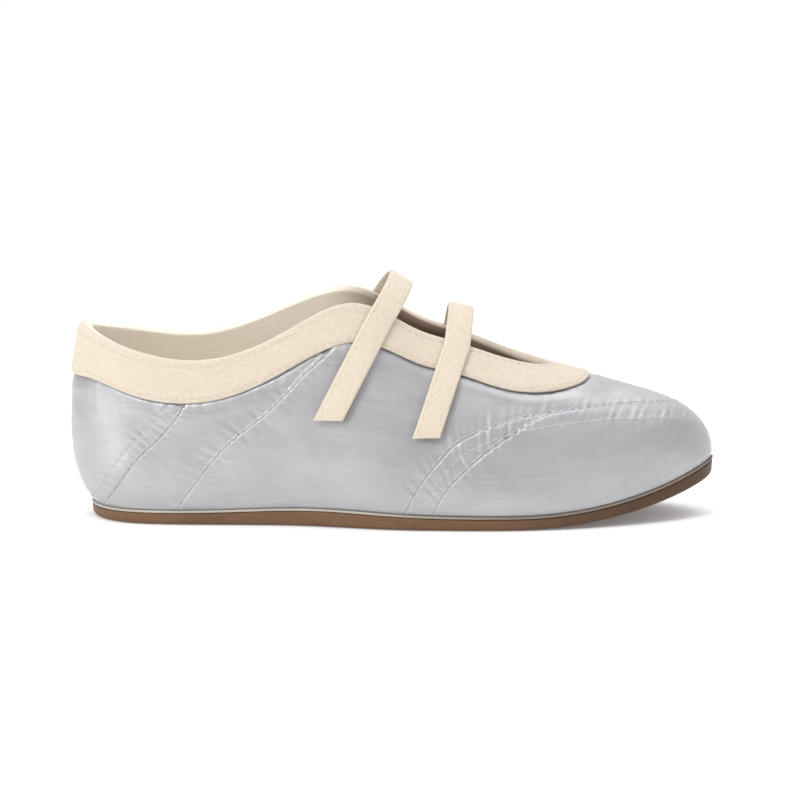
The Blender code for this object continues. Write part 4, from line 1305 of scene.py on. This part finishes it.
def strap_stitches(name, outer, normals, end):
    """Stitched rows along both edges of a strip and across its sewn end."""
    last = STRAP_ACROSS - 1
    inset = max(1, round(STRAP_EDGE / STRAP_WIDTH * last))
    runs = [paced(outer[:, k], normals[:, k], STITCH_PITCH) for k in (inset, last - inset)]
    rows_in = max(1, round(STRAP_EDGE / STRAP_STEP))
    row = rows_in if end == "start" else -1 - rows_in
    width = slice(inset, last - inset + 1)
    runs.append(paced(outer[row, width], normals[row, width], END_PITCH))
    places, headings, facing = (np.vstack([run[k] for run in runs]) for k in range(3))
    return stitch_mesh(name, places - facing * STRAP_SINK, headings, facing, "thread_cream",
                       END_STITCH)


def make_strap(name, strap):
    """One strap as two closed strips that meet end to end over the instep."""
    reach = strap["reach"]
    tab = wall_rows(strap, -1, 0.0, reach, level_end=True)
    anchor = wall_rows(strap, 1, reach - ANCHOR_LENGTH, reach, level_end=False)
    bridge = bridge_rows(strap)
    half = len(bridge) // 2
    strips = (("tab", np.concatenate([tab, bridge[:half + 1]]), "start", bridge[0],
               bridge[3], -1, (name, name + "_tab"), (name + "_tab",)),
              ("anchor", np.concatenate([bridge[half:], anchor[::-1]]), "end", bridge[-1],
               bridge[-4], 1, (SHOE, name), (name + "_anchor", name + "_band")))
    for label, rows, end, hinge_row, next_row, turn, bodies, node_names in strips:
        piece, outer, normals = ribbon(f"{name}_{label}_webbing", rows, end)
        stitches = strap_stitches(f"{name}_{label}_stitches", outer, normals, end)
        for item in (piece, stitches):
            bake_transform(item)
        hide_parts(*node_names)


# ---- floor, lights and camera ----

CAMERA_TARGET = (3.1, 0.0, 44.1)
CAMERA_ELEVATION = 9.0
CAMERA_DISTANCE = 1600.0
VIEW_WIDTH = 311.5
SENSOR = 36.0
CLIP = (0.05, 20.0)
FRONT_ROOM = 0.50
FLOOR_GLOW = 0.12          # keeps the shadow under the toe pale
FLOOR_DROP = 0.0002        # metres, like the floor's and the lights' places
FLOOR_SIZE = (3.0, 1.0)    # how far it reaches to the sides and the front, and behind
# axis of a direction; its range, and the light added over that range
ROOM_PARTS = (("Y", (-0.1, 0.7, 0.0, 0.52)), ("Z", (0.2, 0.9, 0.0, 0.25)),
              ("X", (-0.9, -0.3, -0.35, 0.0)))
LIGHTS_AIM = (0, 0, 0.04)
# name, place, width and height, watts
LIGHTS = (
    ("side_light", (-1.15, -0.62, 0.12), (0.85, 0.9), 7.0),
    ("key_light", (-0.65, -0.75, 1.0), (0.35, 0.35), 6.5),
    ("top_light", (0.15, 0.1, 1.3), (1.3, 1.3), 8.8),
    ("fill_light", (1.0, -0.9, 0.5), (0.8, 0.8), 1.2),
)


def make_floor():
    """A pale floor that glows a little, so that shadows on it stay pale."""
    mesh = bpy.data.meshes.new("floor")
    half, far = FLOOR_SIZE
    mesh.from_pydata([(-half, -half, 0), (half, -half, 0), (half, far, 0), (-half, far, 0)],
                     [], [(0, 1, 2, 3)])
    floor = bpy.data.objects.new("floor", mesh)
    floor.location = (0, 0, -FLOOR_DROP)
    bpy.context.scene.collection.objects.link(floor)
    mesh.materials.append(FINISH["floor"])
    tree = FINISH["floor"].node_tree
    set_inputs(tree, tree.nodes["Principled BSDF"], {"Emission Color": (1, 1, 1, 1),
                                                     "Emission Strength": FLOOR_GLOW})


def aim(thing, target):
    """Turn an object's -Z towards a point."""
    thing.rotation_euler = (Vector(target) - thing.location).to_track_quat("-Z", "Y").to_euler()


def add_area(name, place, size, power):
    """A soft box that looks at the shoe."""
    lamp = bpy.data.lights.new(name, "AREA")
    lamp.shape = "RECTANGLE"
    lamp.size, lamp.size_y = size
    lamp.energy = power
    thing = bpy.data.objects.new(name, lamp)
    thing.location = place
    bpy.context.scene.collection.objects.link(thing)
    aim(thing, LIGHTS_AIM)


def add_room_light():
    """An uneven bright room: white behind and above, dimmer in front and at the heel."""
    world = bpy.data.worlds.new("studio")
    world.use_nodes = True
    tree = world.node_tree
    direction = add_node(tree, "TexCoord", {}).outputs["Generated"]
    parts = add_node(tree, "SeparateXYZ", {"Vector": direction}).outputs
    total = FRONT_ROOM
    for axis, limits in ROOM_PARTS:
        values = dict(zip(("From Min", "From Max", "To Min", "To Max"), limits))
        part = add_node(tree, "MapRange", {**values, "Value": parts[axis]},
                        interpolation_type="SMOOTHSTEP")
        total = arithmetic(tree, "ADD", part.outputs["Result"], total)
    set_inputs(tree, tree.nodes["Background"], {"Color": (1, 1, 1, 1), "Strength": total})
    bpy.context.scene.world = world


def light_stage():
    """High-key studio light: soft boxes at the left, overhead and at the right front."""
    for light in LIGHTS:
        add_area(*light)
    add_room_light()


def make_camera():
    """A long lens on the outer side, a little above the shoe."""
    data = bpy.data.cameras.new("camera")
    data.sensor_width = SENSOR
    data.lens = SENSOR * CAMERA_DISTANCE / VIEW_WIDTH
    data.clip_start, data.clip_end = CLIP
    camera = bpy.data.objects.new("camera", data)
    tilt = math.radians(CAMERA_ELEVATION)
    away = Vector((0, -math.cos(tilt), math.sin(tilt))) * CAMERA_DISTANCE
    camera.location = (Vector(CAMERA_TARGET) + away) * MM
    bpy.context.scene.collection.objects.link(camera)
    aim(camera, Vector(CAMERA_TARGET) * MM)
    bpy.context.scene.camera = camera
    bpy.context.scene.view_settings.view_transform = "Standard"


make_camera()
make_floor()
light_stage()
finish_cad_nodes()
satin_face = make_satin()
seam_stitches(satin_face)
make_binding()
stitch_binding()
make_linings()
make_sole()
make_sock_liner()
for strap_name, strap_shape in STRAPS.items():
    make_strap(strap_name, strap_shape)
